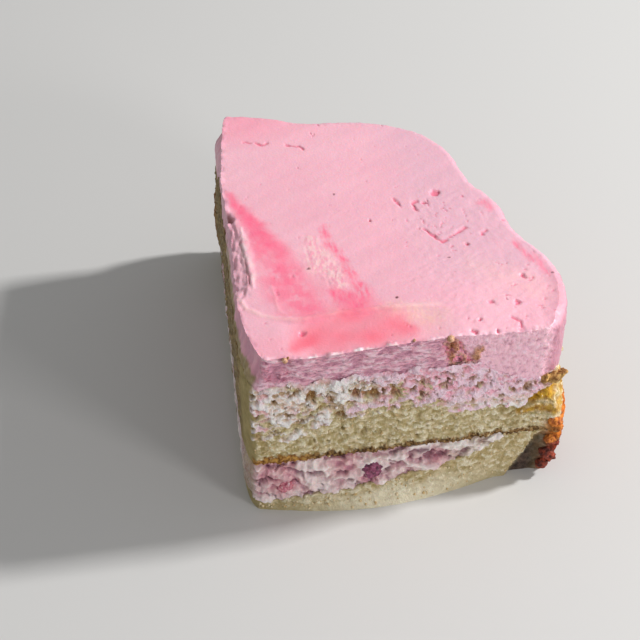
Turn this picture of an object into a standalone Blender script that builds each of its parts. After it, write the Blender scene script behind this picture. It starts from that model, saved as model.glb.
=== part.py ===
"""A large cut piece of a round, two-layer sponge cake with a thick spread of pink icing.

The front and the left side are knife cuts, and the back and the right follow the round of the tin.
Every layer is one closed solid that runs through the piece: the lower sponge, the fruit cream filling,
the upper sponge and the icing. Two berries are seated in the filling where it shows at the front.

Lengths are in metres. While the layers are shaped, the front left corner is at x = y = 0 and the
piece stands on z = 0. The last step moves the middle of its footprint to the origin.
"""

import math

import bmesh
import bpy
from mathutils import Vector, noise

# Driving dimensions
HEIGHT = 0.0590                 # icing surface above the plate
FRONT_WIDTH = 0.0890            # front cut
LEFT_DEPTH = 0.1210             # left cut
RIM_RADIUS = 0.0880             # round of the whole cake
RIM_CENTRE = (0.0075, 0.0330)
MIDDLE = (0.0440, 0.0500)       # the rings of every layer are drawn around this point
GAP = 0.0003                    # clearance between pieces that lie on each other
CURVED_GAP = 0.0008             # the same where both faces are curved

# Hand-spread rim: (direction in degrees, spread in degrees, how far it stands out)
RIM_SWELLS = (
    (-10.0, 9.0, 0.0010), (10.0, 10.0, -0.0068), (28.0, 9.0, -0.0055), (48.0, 13.0, 0.0044), (73.0, 9.0, -0.0040))
ICING_CORNER_ROUND = 0.0034     # softness of the icing's corner between the front cut and the rim
ICING_CORNER_LEVEL = 0.0368     # from this level up
SPONGE_CORNER_ROUND = 0.0008
CUT_CORNER_ROUND = 0.0006
RIM_BLEND = 0.0120              # the side changes from cut to rim over this length
FAR_CORNER_ANGLE = 0.84         # direction of the slab's fourth corner from the rim's centre, in radians

# Left cut: straight through the sponge, leaning in through the icing, and wandering to the right at the back
CUT_FOOT = -0.0020
CUT_DRIFT = 0.0063
ICING_LEAN = 0.0052
ICING_LEAN_LENGTH = 0.0120
ICING_DRIFT = 0.0080
LEAN_START = 0.0030             # the icing's lean begins this far below its underside

# Levels
CRUST_LEVEL = 0.0188            # underside of the upper sponge
ICING_LEVEL = 0.0495            # underside of the icing, away from the rim
RIM_SAG = 0.0100                # the icing comes this much lower at the rim
RIM_SAG_WIDTH = 0.0220
RIM_ROUND = 0.0028              # round of the icing from its top to its side
CROWN = 0.0019                  # the icing is highest behind the middle of the front edge
CROWN_X = 0.0540
CROWN_WIDTH = 0.0300
CROWN_DEPTH = 0.0300

# Filling: a wedge, thick at the left and running out before the rim
FILLING_THICK = 0.0150
FILLING_FALL = 0.13             # lost in thickness for each unit to the right
FILLING_STOP = 0.0135           # from the rim
FILLING_TAPER = 1.7             # the edge rounds off over this many thicknesses
FILLING_EDGE = 0.0007
EDGE_GAP = 0.0012               # further clearance under the filling's edge

# Squashed foot of the front cut
FOOT_BULGE = 0.0060
FOOT_MIDDLE = 0.0360
FOOT_HALF_LENGTH = 0.0370
FOOT_HEIGHT = 0.0190

# Torn right corner and open seam under the icing
TEAR_START = 0.0760
TEAR_SLOPE = 0.50               # the torn edge leans this much to the right for each unit of height
TEAR_DEPTH = 0.0022
TEAR_BLEND = 0.0030
TEAR_TOP_BLEND = 0.0040
SEAM_LEVEL = 0.0338
SEAM_HEIGHT = 0.0026
SEAM_DEPTH = 0.0036
SPONGE_INSET = 0.0006           # the sponge stands back from the icing's side
CRUST_SWELL = 0.0036            # the crust stands out around the middle of the side
CRUST_SWELL_LEVEL = 0.0160
CRUST_SWELL_HEIGHT = 0.0120
TUCK = 0.0022                   # the crust draws in under its foot
TUCK_HEIGHT = 0.0050

# Surface relief
CRUMB_RELIEF = 0.0006
CRUMB_SIZE = 0.0042
CRAG_RELIEF = 0.0012
CRAG_SIZE = 0.0060
CRAG_SEED = 4.0
CREAM_RELIEF = 0.0008
CREAM_SIZE = 0.0050
CREAM_SEED = 2.0
SMEAR_THICK = 0.0008
SMEAR_LOW = 0.0330
SMEAR_BLEND = 0.0060
SMEAR_SIZE = (0.0060, 0.0120, 0.0040)
SMEAR_SEED = 9.0
SMEAR_EVEN = 0.3                # share of the smear that is there everywhere
KNIFE_LINE = 0.0005
KNIFE_SIZE = (0.0180, 0.0180, 0.0022)
SPREAD_RELIEF = 0.0006          # unevenness of the icing's round side
SPREAD_SIZE = 0.0110
SWEEP_RELIEF = 0.0003           # unevenness of its top
SWEEP_SIZE = 0.0180

# Marks in the top of the icing: (x, y) of start and end, height or depth, half width
RIDGE_HEIGHT = 0.0011
RIDGE_HALF_WIDTH = 0.0016
RIDGE_Y = 0.0160
RIDGE_ENDS = (0.0090, 0.0560)
RIDGE_FADES = (0.0080, 0.0120)
CURL = 0.0120                   # the ridge turns back along the left edge by this much
CURL_X = 0.0020
CURL_WIDTH = 0.0080
FOLD_HEIGHT = 0.0014
FOLD_HALF_WIDTH = 0.0018
FOLD_X = 0.0055
FOLD_ENDS = (0.0300, 0.0640)
FOLD_FADE = 0.0080
TERRACE_DROP = 0.0009           # the strip in front of the ridge lies lower
TERRACE_STEP = 0.0030
PIT_CENTRE = (0.0660, 0.0570)
PIT_RADIUS = 0.0120
PIT_DEPTH = 0.0006

# Mesh fineness: cells across a layer, rows up its sides
CELLS = 28
RING_CROWDING = 1.4             # above 1, the rings crowd towards the sides
ICING_ROWS = 8
ICING_ROW_SPREAD = 1.3          # above 1, the rows crowd towards the rounded top
UPPER_ROWS = 10
FILLING_CELLS, FILLING_ROWS = 20, 4
LOWER_ROWS = 6
CUT_STEPS = 4                   # repeats that settle where a direction meets a cut
RIM_STEPS = 8                   # the same for the round side
PLACE_STEPS = 3                 # the same for a point's place and level
FLAT_ANGLE = math.radians(0.1)
LEVEL_NORMAL = 0.9999999        # faces this close to level are merged into one
CLEAR_OF_CUT = 0.0040           # a cutter runs this far past the cut sides

# Berries: centre seen in the front cut, radius, how far it stands out of the filling
BERRIES = (
    ("berry_dark", (0.0345, -0.0010, 0.0124), 0.0034, 7),
    ("berry_red", (0.0088, -0.0002, 0.0092), 0.0027, 11),
)
BERRY_SQUASH = (1.0, 0.80, 0.92)
BERRY_RELIEF = 0.10
BERRY_GRAIN = 1.7
BERRY_FINENESS = 2

# Colour, roughness
MATERIALS = {
    "icing": ((0.86, 0.36, 0.45), 0.45),
    "upper_sponge": ((0.62, 0.52, 0.27), 0.85),
    "filling": ((0.62, 0.36, 0.42), 0.50),
    "lower_sponge": ((0.60, 0.50, 0.26), 0.80),
    "berry_dark": ((0.16, 0.01, 0.06), 0.30),
    "berry_red": ((0.45, 0.06, 0.10), 0.30),
}


def smooth_step(value):
    """0 below 0, 1 above 1, and an even S between."""
    value = min(max(value, 0.0), 1.0)
    return value * value * (3.0 - 2.0 * value)


def bump(distance, half_width):
    """A bell of height 1 at distance 0."""
    return math.exp(-(distance / half_width) ** 2)


def soft_min(first, second, softness):
    """The smaller of two lengths, with the change from one to the other rounded."""
    low = min(first, second)
    return low - softness * math.log(math.exp((low - first) / softness) + math.exp((low - second) / softness))


def relief(x, y, z, size, seed=0.0):
    """Uneven value between about -1 and 1 that changes over the given size, or size along each axis."""
    across, deep, high = size if isinstance(size, tuple) else (size, size, size)
    return noise.noise(Vector((x / across + seed, y / deep, z / high))) * 1.6


def rim_radius(angle):
    """Radius of the round side in a direction seen from the rim's centre."""
    degrees = math.degrees(angle)
    return RIM_RADIUS + sum(out * bump(degrees - middle, spread) for middle, spread, out in RIM_SWELLS)


def rim_distance(x, y):
    """How far a point lies inside the round side."""
    dx, dy = x - RIM_CENTRE[0], y - RIM_CENTRE[1]
    return rim_radius(math.atan2(dy, dx)) - math.hypot(dx, dy)


def left_cut(y, z):
    """x of the left cut."""
    y = min(max(y, 0.0), LEFT_DEPTH)
    through_sponge = CUT_FOOT + CUT_DRIFT * y / LEFT_DEPTH
    lean = ICING_LEAN * math.exp(-y / ICING_LEAN_LENGTH)
    through_icing = CUT_FOOT + lean + (ICING_DRIFT - CUT_FOOT) * (y / LEFT_DEPTH) ** 2
    through_icing = max(through_icing, through_sponge)
    share = smooth_step((z - ICING_LEVEL + LEAN_START) / (HEIGHT - ICING_LEVEL))
    return through_sponge + (through_icing - through_sponge) * share


def front_cut(x, z):
    """y of the front cut."""
    x = min(max(x, 0.0), FRONT_WIDTH)
    along = min(abs(x - FOOT_MIDDLE) / FOOT_HALF_LENGTH, 1.0)
    return -FOOT_BULGE * math.cos(0.5 * math.pi * along) * max(1.0 - z / FOOT_HEIGHT, 0.0)


def tear(x, z):
    """How far the torn corner at the right of the front cut is set back."""
    past = x - (TEAR_START + TEAR_SLOPE * z)
    return TEAR_DEPTH * smooth_step(past / TEAR_BLEND) * smooth_step((CRUST_LEVEL - z) / TEAR_TOP_BLEND + 0.5)


def outline_reach(direction, z):
    """Distance from the middle to the side, along a direction, at a level.

    Returns the reach and how much of the side there is rim rather than cut.
    """
    dx, dy = direction
    far = 10.0 * RIM_RADIUS
    reach_front = reach_left = far
    if dy < 0.0:
        reach_front = (front_cut(MIDDLE[0], z) - MIDDLE[1]) / dy
        for _ in range(CUT_STEPS):
            reach_front = (front_cut(MIDDLE[0] + reach_front * dx, z) - MIDDLE[1]) / dy
            reach_front = min(reach_front, far)
    if dx < 0.0:
        reach_left = (left_cut(MIDDLE[1], z) - MIDDLE[0]) / dx
        for _ in range(CUT_STEPS):
            reach_left = (left_cut(MIDDLE[1] + reach_left * dy, z) - MIDDLE[0]) / dx
            reach_left = min(reach_left, far)
    reach_rim = RIM_RADIUS
    for _ in range(RIM_STEPS):
        reach_rim += rim_distance(MIDDLE[0] + reach_rim * dx, MIDDLE[1] + reach_rim * dy)
    cut = soft_min(reach_front, reach_left, CUT_CORNER_ROUND)
    corner_round = ICING_CORNER_ROUND if z > ICING_CORNER_LEVEL else SPONGE_CORNER_ROUND
    softness = corner_round if dy < 0.0 else CUT_CORNER_ROUND
    rimness = smooth_step(0.5 + (cut - reach_rim) / RIM_BLEND)
    return soft_min(cut, reach_rim, softness), rimness


def side_direction(a, b):
    """Direction from the middle for a place on the unit square's edge."""
    far_x = RIM_CENTRE[0] + RIM_RADIUS * math.cos(FAR_CORNER_ANGLE)
    far_y = RIM_CENTRE[1] + RIM_RADIUS * math.sin(FAR_CORNER_ANGLE)
    corners = {
        (-1, -1): (left_cut(0.0, 0.0), 0.0),
        (1, -1): (FRONT_WIDTH, 0.0),
        (1, 1): (far_x, far_y),
        (-1, 1): (ICING_DRIFT, LEFT_DEPTH),
    }
    x = y = 0.0
    for (corner_a, corner_b), (corner_x, corner_y) in corners.items():
        share = 0.25 * (1.0 + corner_a * a) * (1.0 + corner_b * b)
        x += share * corner_x
        y += share * corner_y
    offset = Vector((x - MIDDLE[0], y - MIDDLE[1]))
    return offset.normalized()


def place(a, b, z, inset):
    """Point of a layer for a place on the unit square, at a level.

    inset gives how far the side is set back, from a point on the side and its rimness.
    """
    ring = max(abs(a), abs(b))
    if ring < 1e-9:
        return MIDDLE
    direction = side_direction(a / ring, b / ring)
    ring = 1.0 - (1.0 - ring) ** RING_CROWDING
    reach, rimness = outline_reach(direction, z)
    side_x, side_y = MIDDLE[0] + reach * direction[0], MIDDLE[1] + reach * direction[1]
    reach -= inset(side_x, side_y, z, rimness)
    return MIDDLE[0] + ring * reach * direction[0], MIDDLE[1] + ring * reach * direction[1]


def unit_slab(cells, rows):
    """Closed slab from -1 to 1 in x and y and 0 to 1 in z, with its sides cut into rows."""
    bm = bmesh.new()
    bmesh.ops.create_grid(bm, x_segments=cells, y_segments=cells, size=1.0)
    bmesh.ops.reverse_faces(bm, faces=bm.faces)
    grown = bmesh.ops.extrude_face_region(bm, geom=bm.faces[:], use_keep_orig=True)
    raised = [item for item in grown["geom"] if isinstance(item, bmesh.types.BMVert)]
    bmesh.ops.translate(bm, verts=raised, vec=(0.0, 0.0, 1.0))
    bmesh.ops.recalc_face_normals(bm, faces=bm.faces)
    uprights = [edge for edge in bm.edges if abs(edge.verts[0].co.z - edge.verts[1].co.z) > 0.5]
    bmesh.ops.subdivide_edges(bm, edges=uprights, cuts=rows - 1)
    return bm


def layer_mesh(name, cells, rows, bottom, top, inset, spread_rows=1.0):
    """One layer, with its two faces given as heights over the plan and its side by its inset."""
    bm = unit_slab(cells, rows)
    for vert in bm.verts:
        a, b, up = vert.co
        up = 1.0 - (1.0 - up) ** spread_rows
        level = bottom(*MIDDLE) * (1.0 - up) + top(*MIDDLE) * up
        for _ in range(PLACE_STEPS):
            x, y = place(a, b, level, inset)
            level = bottom(x, y) * (1.0 - up) + top(x, y) * up
        vert.co = (x, y, level)
    bm.normal_update()
    level_faces = [face for face in bm.faces if abs(face.normal.z) > LEVEL_NORMAL]
    inner_edges = {edge for face in level_faces for edge in face.edges if all(
        abs(side.normal.z) > LEVEL_NORMAL for side in edge.link_faces)}
    inner_verts = {vert for face in level_faces for vert in face.verts if all(
        edge in inner_edges for edge in vert.link_edges)}
    bmesh.ops.dissolve_limit(bm, angle_limit=FLAT_ANGLE, verts=list(inner_verts), edges=list(inner_edges))
    bmesh.ops.triangulate(bm, faces=bm.faces[:])
    mesh = bpy.data.meshes.new(name)
    bm.to_mesh(mesh)
    bm.free()
    return mesh


def add_object(name, mesh):
    """Object of one piece, with its own material."""
    colour, roughness = MATERIALS[name]
    material = bpy.data.materials.new(name)
    material.use_nodes = True
    shader = material.node_tree.nodes["Principled BSDF"]
    shader.inputs["Base Color"].default_value = (*colour, 1.0)
    shader.inputs["Roughness"].default_value = roughness
    shader.inputs["Metallic"].default_value = 0.0
    material.diffuse_color = (*colour, 1.0)
    mesh.materials.append(material)
    piece = bpy.data.objects.new(name, mesh)
    bpy.context.collection.objects.link(piece)
    return piece


def icing_underside(x, y):
    """The icing's underside, level inside and sagging over the sponge's round edge."""
    near_rim = min(max(1.0 - rim_distance(x, y) / RIM_SAG_WIDTH, 0.0), 1.0)
    return ICING_LEVEL - RIM_SAG * (1.0 - (1.0 - near_rim) ** 2)


def icing_top(x, y):
    """The spread surface with its crown, ridge, fold, lower front strip and pitted patch."""
    surface = HEIGHT + CROWN * bump(x - CROWN_X, CROWN_WIDTH) * bump(y, CROWN_DEPTH)
    along = smooth_step((x - RIDGE_ENDS[0]) / RIDGE_FADES[0]) * smooth_step((RIDGE_ENDS[1] - x) / RIDGE_FADES[1])
    curl = CURL * bump(x - CURL_X, CURL_WIDTH)
    surface += RIDGE_HEIGHT * along * bump(y - RIDGE_Y - curl, RIDGE_HALF_WIDTH)
    surface -= TERRACE_DROP * along * smooth_step((RIDGE_Y - y) / TERRACE_STEP)
    along = smooth_step((y - FOLD_ENDS[0]) / FOLD_FADE) * smooth_step((FOLD_ENDS[1] - y) / FOLD_FADE)
    surface += FOLD_HEIGHT * along * bump(x - FOLD_X, FOLD_HALF_WIDTH)
    patch = bump(math.hypot(x - PIT_CENTRE[0], y - PIT_CENTRE[1]), PIT_RADIUS)
    surface += PIT_DEPTH * patch * relief(x, y, 0.0, CRUMB_SIZE)
    return surface + SWEEP_RELIEF * relief(x, y, 0.0, SWEEP_SIZE)


def icing_inset(x, y, z, rimness):
    """Rounds the rim over, and draws the knife's lines along the cuts."""
    above = max(z - (HEIGHT - RIM_ROUND), 0.0) / RIM_ROUND
    rounded = RIM_ROUND * (1.0 - math.sqrt(max(1.0 - min(above, 1.0) ** 2, 0.0)))
    lines = KNIFE_LINE * relief(x, y, z, KNIFE_SIZE)
    spread = SPREAD_RELIEF * relief(x, y, z, SPREAD_SIZE)
    return rimness * (rounded + spread) + (1.0 - rimness) * lines


def on_crust(rimness):
    """1 on the crust, corners included, and 0 on the cuts."""
    return smooth_step(2.0 * rimness)


def sponge_side(x, y, z, rimness):
    """Crumb on the cuts and a craggy crust on the rim, which stands out right up to its corners."""
    crumb = CRUMB_RELIEF * relief(x, y, z, CRUMB_SIZE)
    crag = SPONGE_INSET + CRAG_RELIEF * relief(x, y, z, CRAG_SIZE, CRAG_SEED)
    swell = CRUST_SWELL * on_crust(rimness) * bump(z - CRUST_SWELL_LEVEL, CRUST_SWELL_HEIGHT)
    return rimness * crag + (1.0 - rimness) * crumb - swell


def upper_inset(x, y, z, rimness):
    """The upper sponge's side, with smeared icing near its top and an open seam at the rim."""
    smear_share = smooth_step((z - SMEAR_LOW) / SMEAR_BLEND) * (1.0 - rimness)
    smear = SMEAR_THICK * smear_share * (SMEAR_EVEN + relief(x, y, z, SMEAR_SIZE, SMEAR_SEED))
    seam = SEAM_DEPTH * rimness * bump(z - SEAM_LEVEL, SEAM_HEIGHT)
    return sponge_side(x, y, z, rimness) - smear + seam


def lower_inset(x, y, z, rimness):
    """The lower sponge's side, torn at the right of the front cut and tucked under at the rim."""
    tucked = TUCK * rimness * smooth_step((TUCK_HEIGHT - z) / TUCK_HEIGHT)
    return sponge_side(x, y, z, rimness) + tear(x, z) * (1.0 - on_crust(rimness)) + tucked


def filling_fullness(x, y):
    """0 where the filling stops short of the rim, and 1 where it has its full thickness."""
    taper = FILLING_TAPER * (FILLING_THICK - FILLING_FALL * x)
    tip = min(max((rim_distance(x, y) - FILLING_STOP) / taper, 0.0), 1.0)
    return math.sin(0.5 * math.pi * tip)


def filling_bottom(x, y):
    body = FILLING_THICK - FILLING_FALL * x
    thickness = FILLING_EDGE + (body - FILLING_EDGE) * filling_fullness(x, y)
    return CRUST_LEVEL - GAP - thickness


def filling_top(_x, _y):
    return CRUST_LEVEL - GAP


def filling_inset(x, y, z, rimness):
    """The lumpy cream at the cuts, and the place where the filling stops short of the rim."""
    lumps = CREAM_RELIEF * relief(x, y, z, CREAM_SIZE, CREAM_SEED)
    return rimness * FILLING_STOP + (1.0 - rimness) * lumps


def room_bottom(x, y):
    return filling_bottom(x, y) - CURVED_GAP - EDGE_GAP * (1.0 - filling_fullness(x, y))


def room_top(_x, _y):
    return CRUST_LEVEL + CLEAR_OF_CUT


def room_inset(_x, _y, _z, rimness):
    """The room that the filling takes up, open at the cuts."""
    return rimness * (FILLING_STOP - GAP) - (1.0 - rimness) * CLEAR_OF_CUT


def lower_top(_x, _y):
    return CRUST_LEVEL - GAP


def floor_level(_x, _y):
    return 0.0


def crust_underside(_x, _y):
    return CRUST_LEVEL


def sponge_top(x, y):
    return icing_underside(x, y) - CURVED_GAP


def berry_mesh(name, centre, radius, seed, growth=0.0):
    """A soft, uneven berry, or with growth the room that it takes up in the filling."""
    bm = bmesh.new()
    bmesh.ops.create_icosphere(bm, subdivisions=BERRY_FINENESS, radius=radius)
    for vert in bm.verts:
        direction = vert.co.normalized()
        swell = 1.0 + BERRY_RELIEF * noise.noise(direction * BERRY_GRAIN + Vector((seed, 0.0, 0.0)))
        squashed = Vector(component * share for component, share in zip(vert.co * swell, BERRY_SQUASH))
        vert.co = squashed + direction * growth + Vector(centre)
    mesh = bpy.data.meshes.new(name)
    bm.to_mesh(mesh)
    bm.free()
    return mesh


def apply_modifiers(piece):
    """Keeps the shape that the modifiers give, and drops the modifiers."""
    evaluated = piece.evaluated_get(bpy.context.evaluated_depsgraph_get())
    mesh = bpy.data.meshes.new_from_object(evaluated)
    piece.modifiers.clear()
    piece.data = mesh


def cut_away(piece, room_mesh):
    """Takes the room of a neighbour out of a piece."""
    room = bpy.data.objects.new("room", room_mesh)
    bpy.context.collection.objects.link(room)
    cut = piece.modifiers.new("room", "BOOLEAN")
    cut.operation = "DIFFERENCE"
    cut.object = room
    apply_modifiers(piece)
    bpy.data.objects.remove(room)


def seat_berries(filling):
    """Each berry, and its socket in the filling."""
    berries = []
    for name, centre, radius, seed in BERRIES:
        cut_away(filling, berry_mesh("room", centre, radius, seed, growth=GAP))
        berries.append(add_object(name, berry_mesh(name, centre, radius, seed)))
    return berries


def stand_on_origin(pieces):
    """Moves the piece so that the middle of its footprint is the origin."""
    corners = [vert.co for piece in pieces for vert in piece.data.vertices]
    low = [min(corner[axis] for corner in corners) for axis in range(3)]
    high = [max(corner[axis] for corner in corners) for axis in range(3)]
    shift = Vector((-(low[0] + high[0]) / 2.0, -(low[1] + high[1]) / 2.0, -low[2]))
    for piece in pieces:
        for vert in piece.data.vertices:
            vert.co += shift


def main():
    for old in list(bpy.data.objects):
        bpy.data.objects.remove(old)
    lower = add_object("lower_sponge", layer_mesh(
        "lower_sponge", CELLS, LOWER_ROWS, floor_level, lower_top, lower_inset))
    filling = add_object("filling", layer_mesh(
        "filling", FILLING_CELLS, FILLING_ROWS, filling_bottom, filling_top, filling_inset))
    upper = add_object("upper_sponge", layer_mesh(
        "upper_sponge", CELLS, UPPER_ROWS, crust_underside, sponge_top, upper_inset))
    icing = add_object("icing", layer_mesh(
        "icing", CELLS, ICING_ROWS, icing_underside, icing_top, icing_inset, ICING_ROW_SPREAD))
    cut_away(lower, layer_mesh("room", FILLING_CELLS, 1, room_bottom, room_top, room_inset))
    berries = seat_berries(filling)
    stand_on_origin([lower, filling, upper, icing, *berries])


main()
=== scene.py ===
import math

import bmesh
import bpy
import numpy as np
from mathutils import Euler, Matrix, Vector, noise

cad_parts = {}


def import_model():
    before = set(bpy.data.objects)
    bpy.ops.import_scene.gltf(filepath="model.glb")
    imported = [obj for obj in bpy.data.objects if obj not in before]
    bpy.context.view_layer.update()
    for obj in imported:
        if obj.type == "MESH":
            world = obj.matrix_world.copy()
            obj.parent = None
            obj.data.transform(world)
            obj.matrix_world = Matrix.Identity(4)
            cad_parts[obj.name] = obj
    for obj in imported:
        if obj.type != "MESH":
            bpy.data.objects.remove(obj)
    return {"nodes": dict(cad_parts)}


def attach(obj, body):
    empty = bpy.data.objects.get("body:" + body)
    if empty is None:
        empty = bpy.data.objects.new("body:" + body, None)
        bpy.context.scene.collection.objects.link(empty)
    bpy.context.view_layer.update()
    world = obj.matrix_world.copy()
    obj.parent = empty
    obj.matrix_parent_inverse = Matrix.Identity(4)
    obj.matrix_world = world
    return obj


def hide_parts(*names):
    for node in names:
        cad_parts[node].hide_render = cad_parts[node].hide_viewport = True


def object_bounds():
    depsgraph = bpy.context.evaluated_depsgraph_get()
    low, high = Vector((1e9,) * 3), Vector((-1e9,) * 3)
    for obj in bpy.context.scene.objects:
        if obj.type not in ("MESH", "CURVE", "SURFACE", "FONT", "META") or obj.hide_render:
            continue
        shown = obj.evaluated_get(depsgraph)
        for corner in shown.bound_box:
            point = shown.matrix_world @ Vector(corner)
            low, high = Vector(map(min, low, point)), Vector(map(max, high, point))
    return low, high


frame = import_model()
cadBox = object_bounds()
print("frame loaded:", sorted(frame["nodes"]))

# Lengths below are in millimetres from the cake's front left corner on the plate: x along the front cut,
# y along the left cut, z up. settle() brings each finished mesh into the part's frame.
cake = {
    "corner": (-48.135, -58.762),  # that corner in the part's frame
    "height": 59.0,  # icing surface above the plate
    "frontWidth": 89.0,
    "leftDepth": 121.0,
    "rimRadius": 88.0,  # round of the whole cake
    "rimCentre": (7.5, 33.0),
    "rimSwells": (  # degrees, spread, out
        (-10, 9, 1.0), (10, 10, -6.8), (28, 9, -5.5), (48, 13, 4.4), (73, 9, -4.0)),
    "rimBlend": 12.0,  # over which a cut becomes the round side
    "middle": (44.0, 50.0),  # the rings of every layer are drawn around this point
    "farCorner": 0.84,  # direction of the slab's fourth corner, radians
    "icingCornerRound": 3.4,
    "icingCornerLevel": 36.8,
    "spongeCornerRound": 0.8,
    "cutCornerRound": 0.6,
    "cutFoot": -2.7,  # the left cut turns in at the front, leans and wanders
    "cutTurn": (2.9, 5.0),  # how far it turns in, over what length
    "cutDrift": 7.0,
    "icingLean": 5.9,
    "icingLeanLength": 13.0,
    "icingLeanBelow": 3.0,  # the lean starts this far below the icing
    "icingDrift": 8.0,
    "crustLevel": 18.8,  # underside of the upper sponge
    "icingLevel": 49.5,  # underside of the icing, away from the rim
    "rimSag": 10.0,  # the icing comes this much lower at the rim
    "rimSagWidth": 22.0,
    "footBulge": 6.0,  # squashed foot of the front cut
    "footMiddle": 36.0,
    "footHalfLength": 37.0,
    "footHeight": 19.0,
    "seam": 0.1,  # between layers that lie on each other
    "sideFrom": 0.97,  # share of the way out where a slab's side starts
    "leftTurn": (1.5, 2.0),  # the front cut becomes the left one: share of x, over what length
    "topSteep": (0.25, 0.4),  # upward part of the normal where the top starts, and over what more
}


def smoothStep(value):
    value = np.clip(value, 0.0, 1.0)
    return value * value * (3.0 - 2.0 * value)


def after(value, start, over):  # 0 up to start, then rising to 1
    return smoothStep((value - start) / over)


def before(value, end, over):  # falling from 1 to 0 at end
    return smoothStep((end - value) / over)


def along(value, start, end, fade=8.0):  # 1 between start and end, fading in and out
    return after(value, start, fade) * before(value, end, fade)


def bump(distance, halfWidth):
    return np.exp(-(distance / halfWidth) ** 2)


def most(*shares):
    return np.maximum.reduce(shares)


def softMin(first, second, softness):
    low = np.minimum(first, second)
    return low - softness * np.log(np.exp((low - first) / softness) + np.exp((low - second) / softness))


def onPlate(x, y):
    return np.stack((x, y, np.zeros_like(x)), 1)


def grain(points, size, seed=0.0):  # even unevenness, about -1 to 1
    scaled = (points / np.array(size) + seed).tolist()
    return np.array([noise.noise(place) for place in scaled]) * 1.6


def ragged(points, size, seed=0.0, octaves=3):  # the same with finer and finer detail
    scaled = (points / np.array(size) + seed).tolist()
    return np.array([noise.fractal(place, 0.9, 2.1, octaves) for place in scaled])


def crumbDistance(points, size, seed):  # to the nearest crumb's middle, 0 to about 1
    scaled = (points / np.array(size) + seed).tolist()
    return np.array([noise.voronoi(place)[0][0] for place in scaled])


def crests(points, size, seed, sharp=0.45):  # 1 on wandering crest lines, 0 between them
    return np.clip(1.0 - np.abs(grain(points, size, seed)) / sharp, 0.0, 1.0)


def wobbled(flat, points, amount, size, seeds, pattern=ragged):  # places pushed about
    return flat + amount * np.stack([pattern(points, size, seed) for seed in seeds], 1)


def stirred(points, size, seed, amount):  # the same in all directions, so that patterns wander
    return wobbled(points, points, amount, size, (seed, seed + 3.1, seed + 6.7))


def onCrust(rimness):  # 1 on the crust, corners included, and 0 on the cuts
    return smoothStep(2.0 * rimness)


def rimDistance(x, y):  # how far a point lies inside the round side
    dx, dy = x - cake["rimCentre"][0], y - cake["rimCentre"][1]
    degrees = np.degrees(np.arctan2(dy, dx))
    radius = cake["rimRadius"] + sum(out * bump(degrees - at, wide) for at, wide, out in cake["rimSwells"])
    return radius - np.hypot(dx, dy)


def leftCut(y, z):  # x of the left cut
    y = np.clip(y, 0.0, cake["leftDepth"])
    turnedIn, length = cake["cutTurn"]
    sponge = cake["cutFoot"] + turnedIn * np.exp(-y / length) + cake["cutDrift"] * y / cake["leftDepth"]
    lean = cake["icingLean"] * np.exp(-y / cake["icingLeanLength"])
    drift = (cake["icingDrift"] - cake["cutFoot"]) * (y / cake["leftDepth"]) ** 2
    icingEdge = cake["cutFoot"] + lean + drift
    leaning = z - cake["icingLevel"] + cake["icingLeanBelow"]
    share = smoothStep(leaning / (cake["height"] - cake["icingLevel"]))
    return sponge + (np.maximum(icingEdge, sponge) - sponge) * share


def frontCut(x, z):  # y of the front cut
    x = np.clip(x, 0.0, cake["frontWidth"])
    near = np.minimum(np.abs(x - cake["footMiddle"]) / cake["footHalfLength"], 1.0)
    return -cake["footBulge"] * np.cos(0.5 * math.pi * near) * np.maximum(1.0 - z / cake["footHeight"], 0.0)


def sideReach(dx, dy, z):  # from the middle to the side, and its share of rim
    middleX, middleY = cake["middle"]
    far = 10.0 * cake["rimRadius"]
    toFront, toLeft = np.minimum(dy, -1e-6), np.minimum(dx, -1e-6)
    front = (frontCut(middleX, z) - middleY) / toFront
    left = (leftCut(middleY, z) - middleX) / toLeft
    for _ in range(4):
        front = np.minimum((frontCut(middleX + front * dx, z) - middleY) / toFront, far)
        left = np.minimum((leftCut(middleY + left * dy, z) - middleX) / toLeft, far)
    front = np.where(dy < 0.0, front, far)
    left = np.where(dx < 0.0, left, far)
    rim = np.full_like(front, cake["rimRadius"])
    for _ in range(8):
        rim += rimDistance(middleX + rim * dx, middleY + rim * dy)
    cut = softMin(front, left, cake["cutCornerRound"])
    corner = np.where(z > cake["icingCornerLevel"], cake["icingCornerRound"], cake["spongeCornerRound"])
    softness = np.where(dy < 0.0, corner, cake["cutCornerRound"])
    rimness = smoothStep(0.5 + (cut - rim) / cake["rimBlend"])
    return softMin(cut, rim, softness), rimness


def slabDirection(a, b):  # from the middle towards the unit slab's edge
    farX, farY = (centre + cake["rimRadius"] * turn(cake["farCorner"])
                  for centre, turn in zip(cake["rimCentre"], (math.cos, math.sin)))
    corners = (
        (-1, -1, cake["cutFoot"] + cake["cutTurn"][0], 0.0),
        (1, -1, cake["frontWidth"], 0.0),
        (1, 1, farX, farY),
        (-1, 1, cake["icingDrift"], cake["leftDepth"]),
    )
    x = sum(0.25 * (1.0 + ca * a) * (1.0 + cb * b) * cornerX for ca, cb, cornerX, _ in corners)
    y = sum(0.25 * (1.0 + ca * a) * (1.0 + cb * b) * cornerY for ca, cb, _, cornerY in corners)
    x, y = x - cake["middle"][0], y - cake["middle"][1]
    length = np.hypot(x, y)
    return x / length, y / length


def meshFrom(name, bm):
    mesh = bpy.data.meshes.new(name)
    bm.to_mesh(mesh)
    bm.free()
    return mesh


def readPoints(source, field):
    values = np.empty(len(source) * 3)
    source.foreach_get(field, values)
    return values.reshape(-1, 3)


def addObject(name, data):
    added = bpy.data.objects.new(name, data)
    bpy.context.scene.collection.objects.link(added)
    return added


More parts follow.
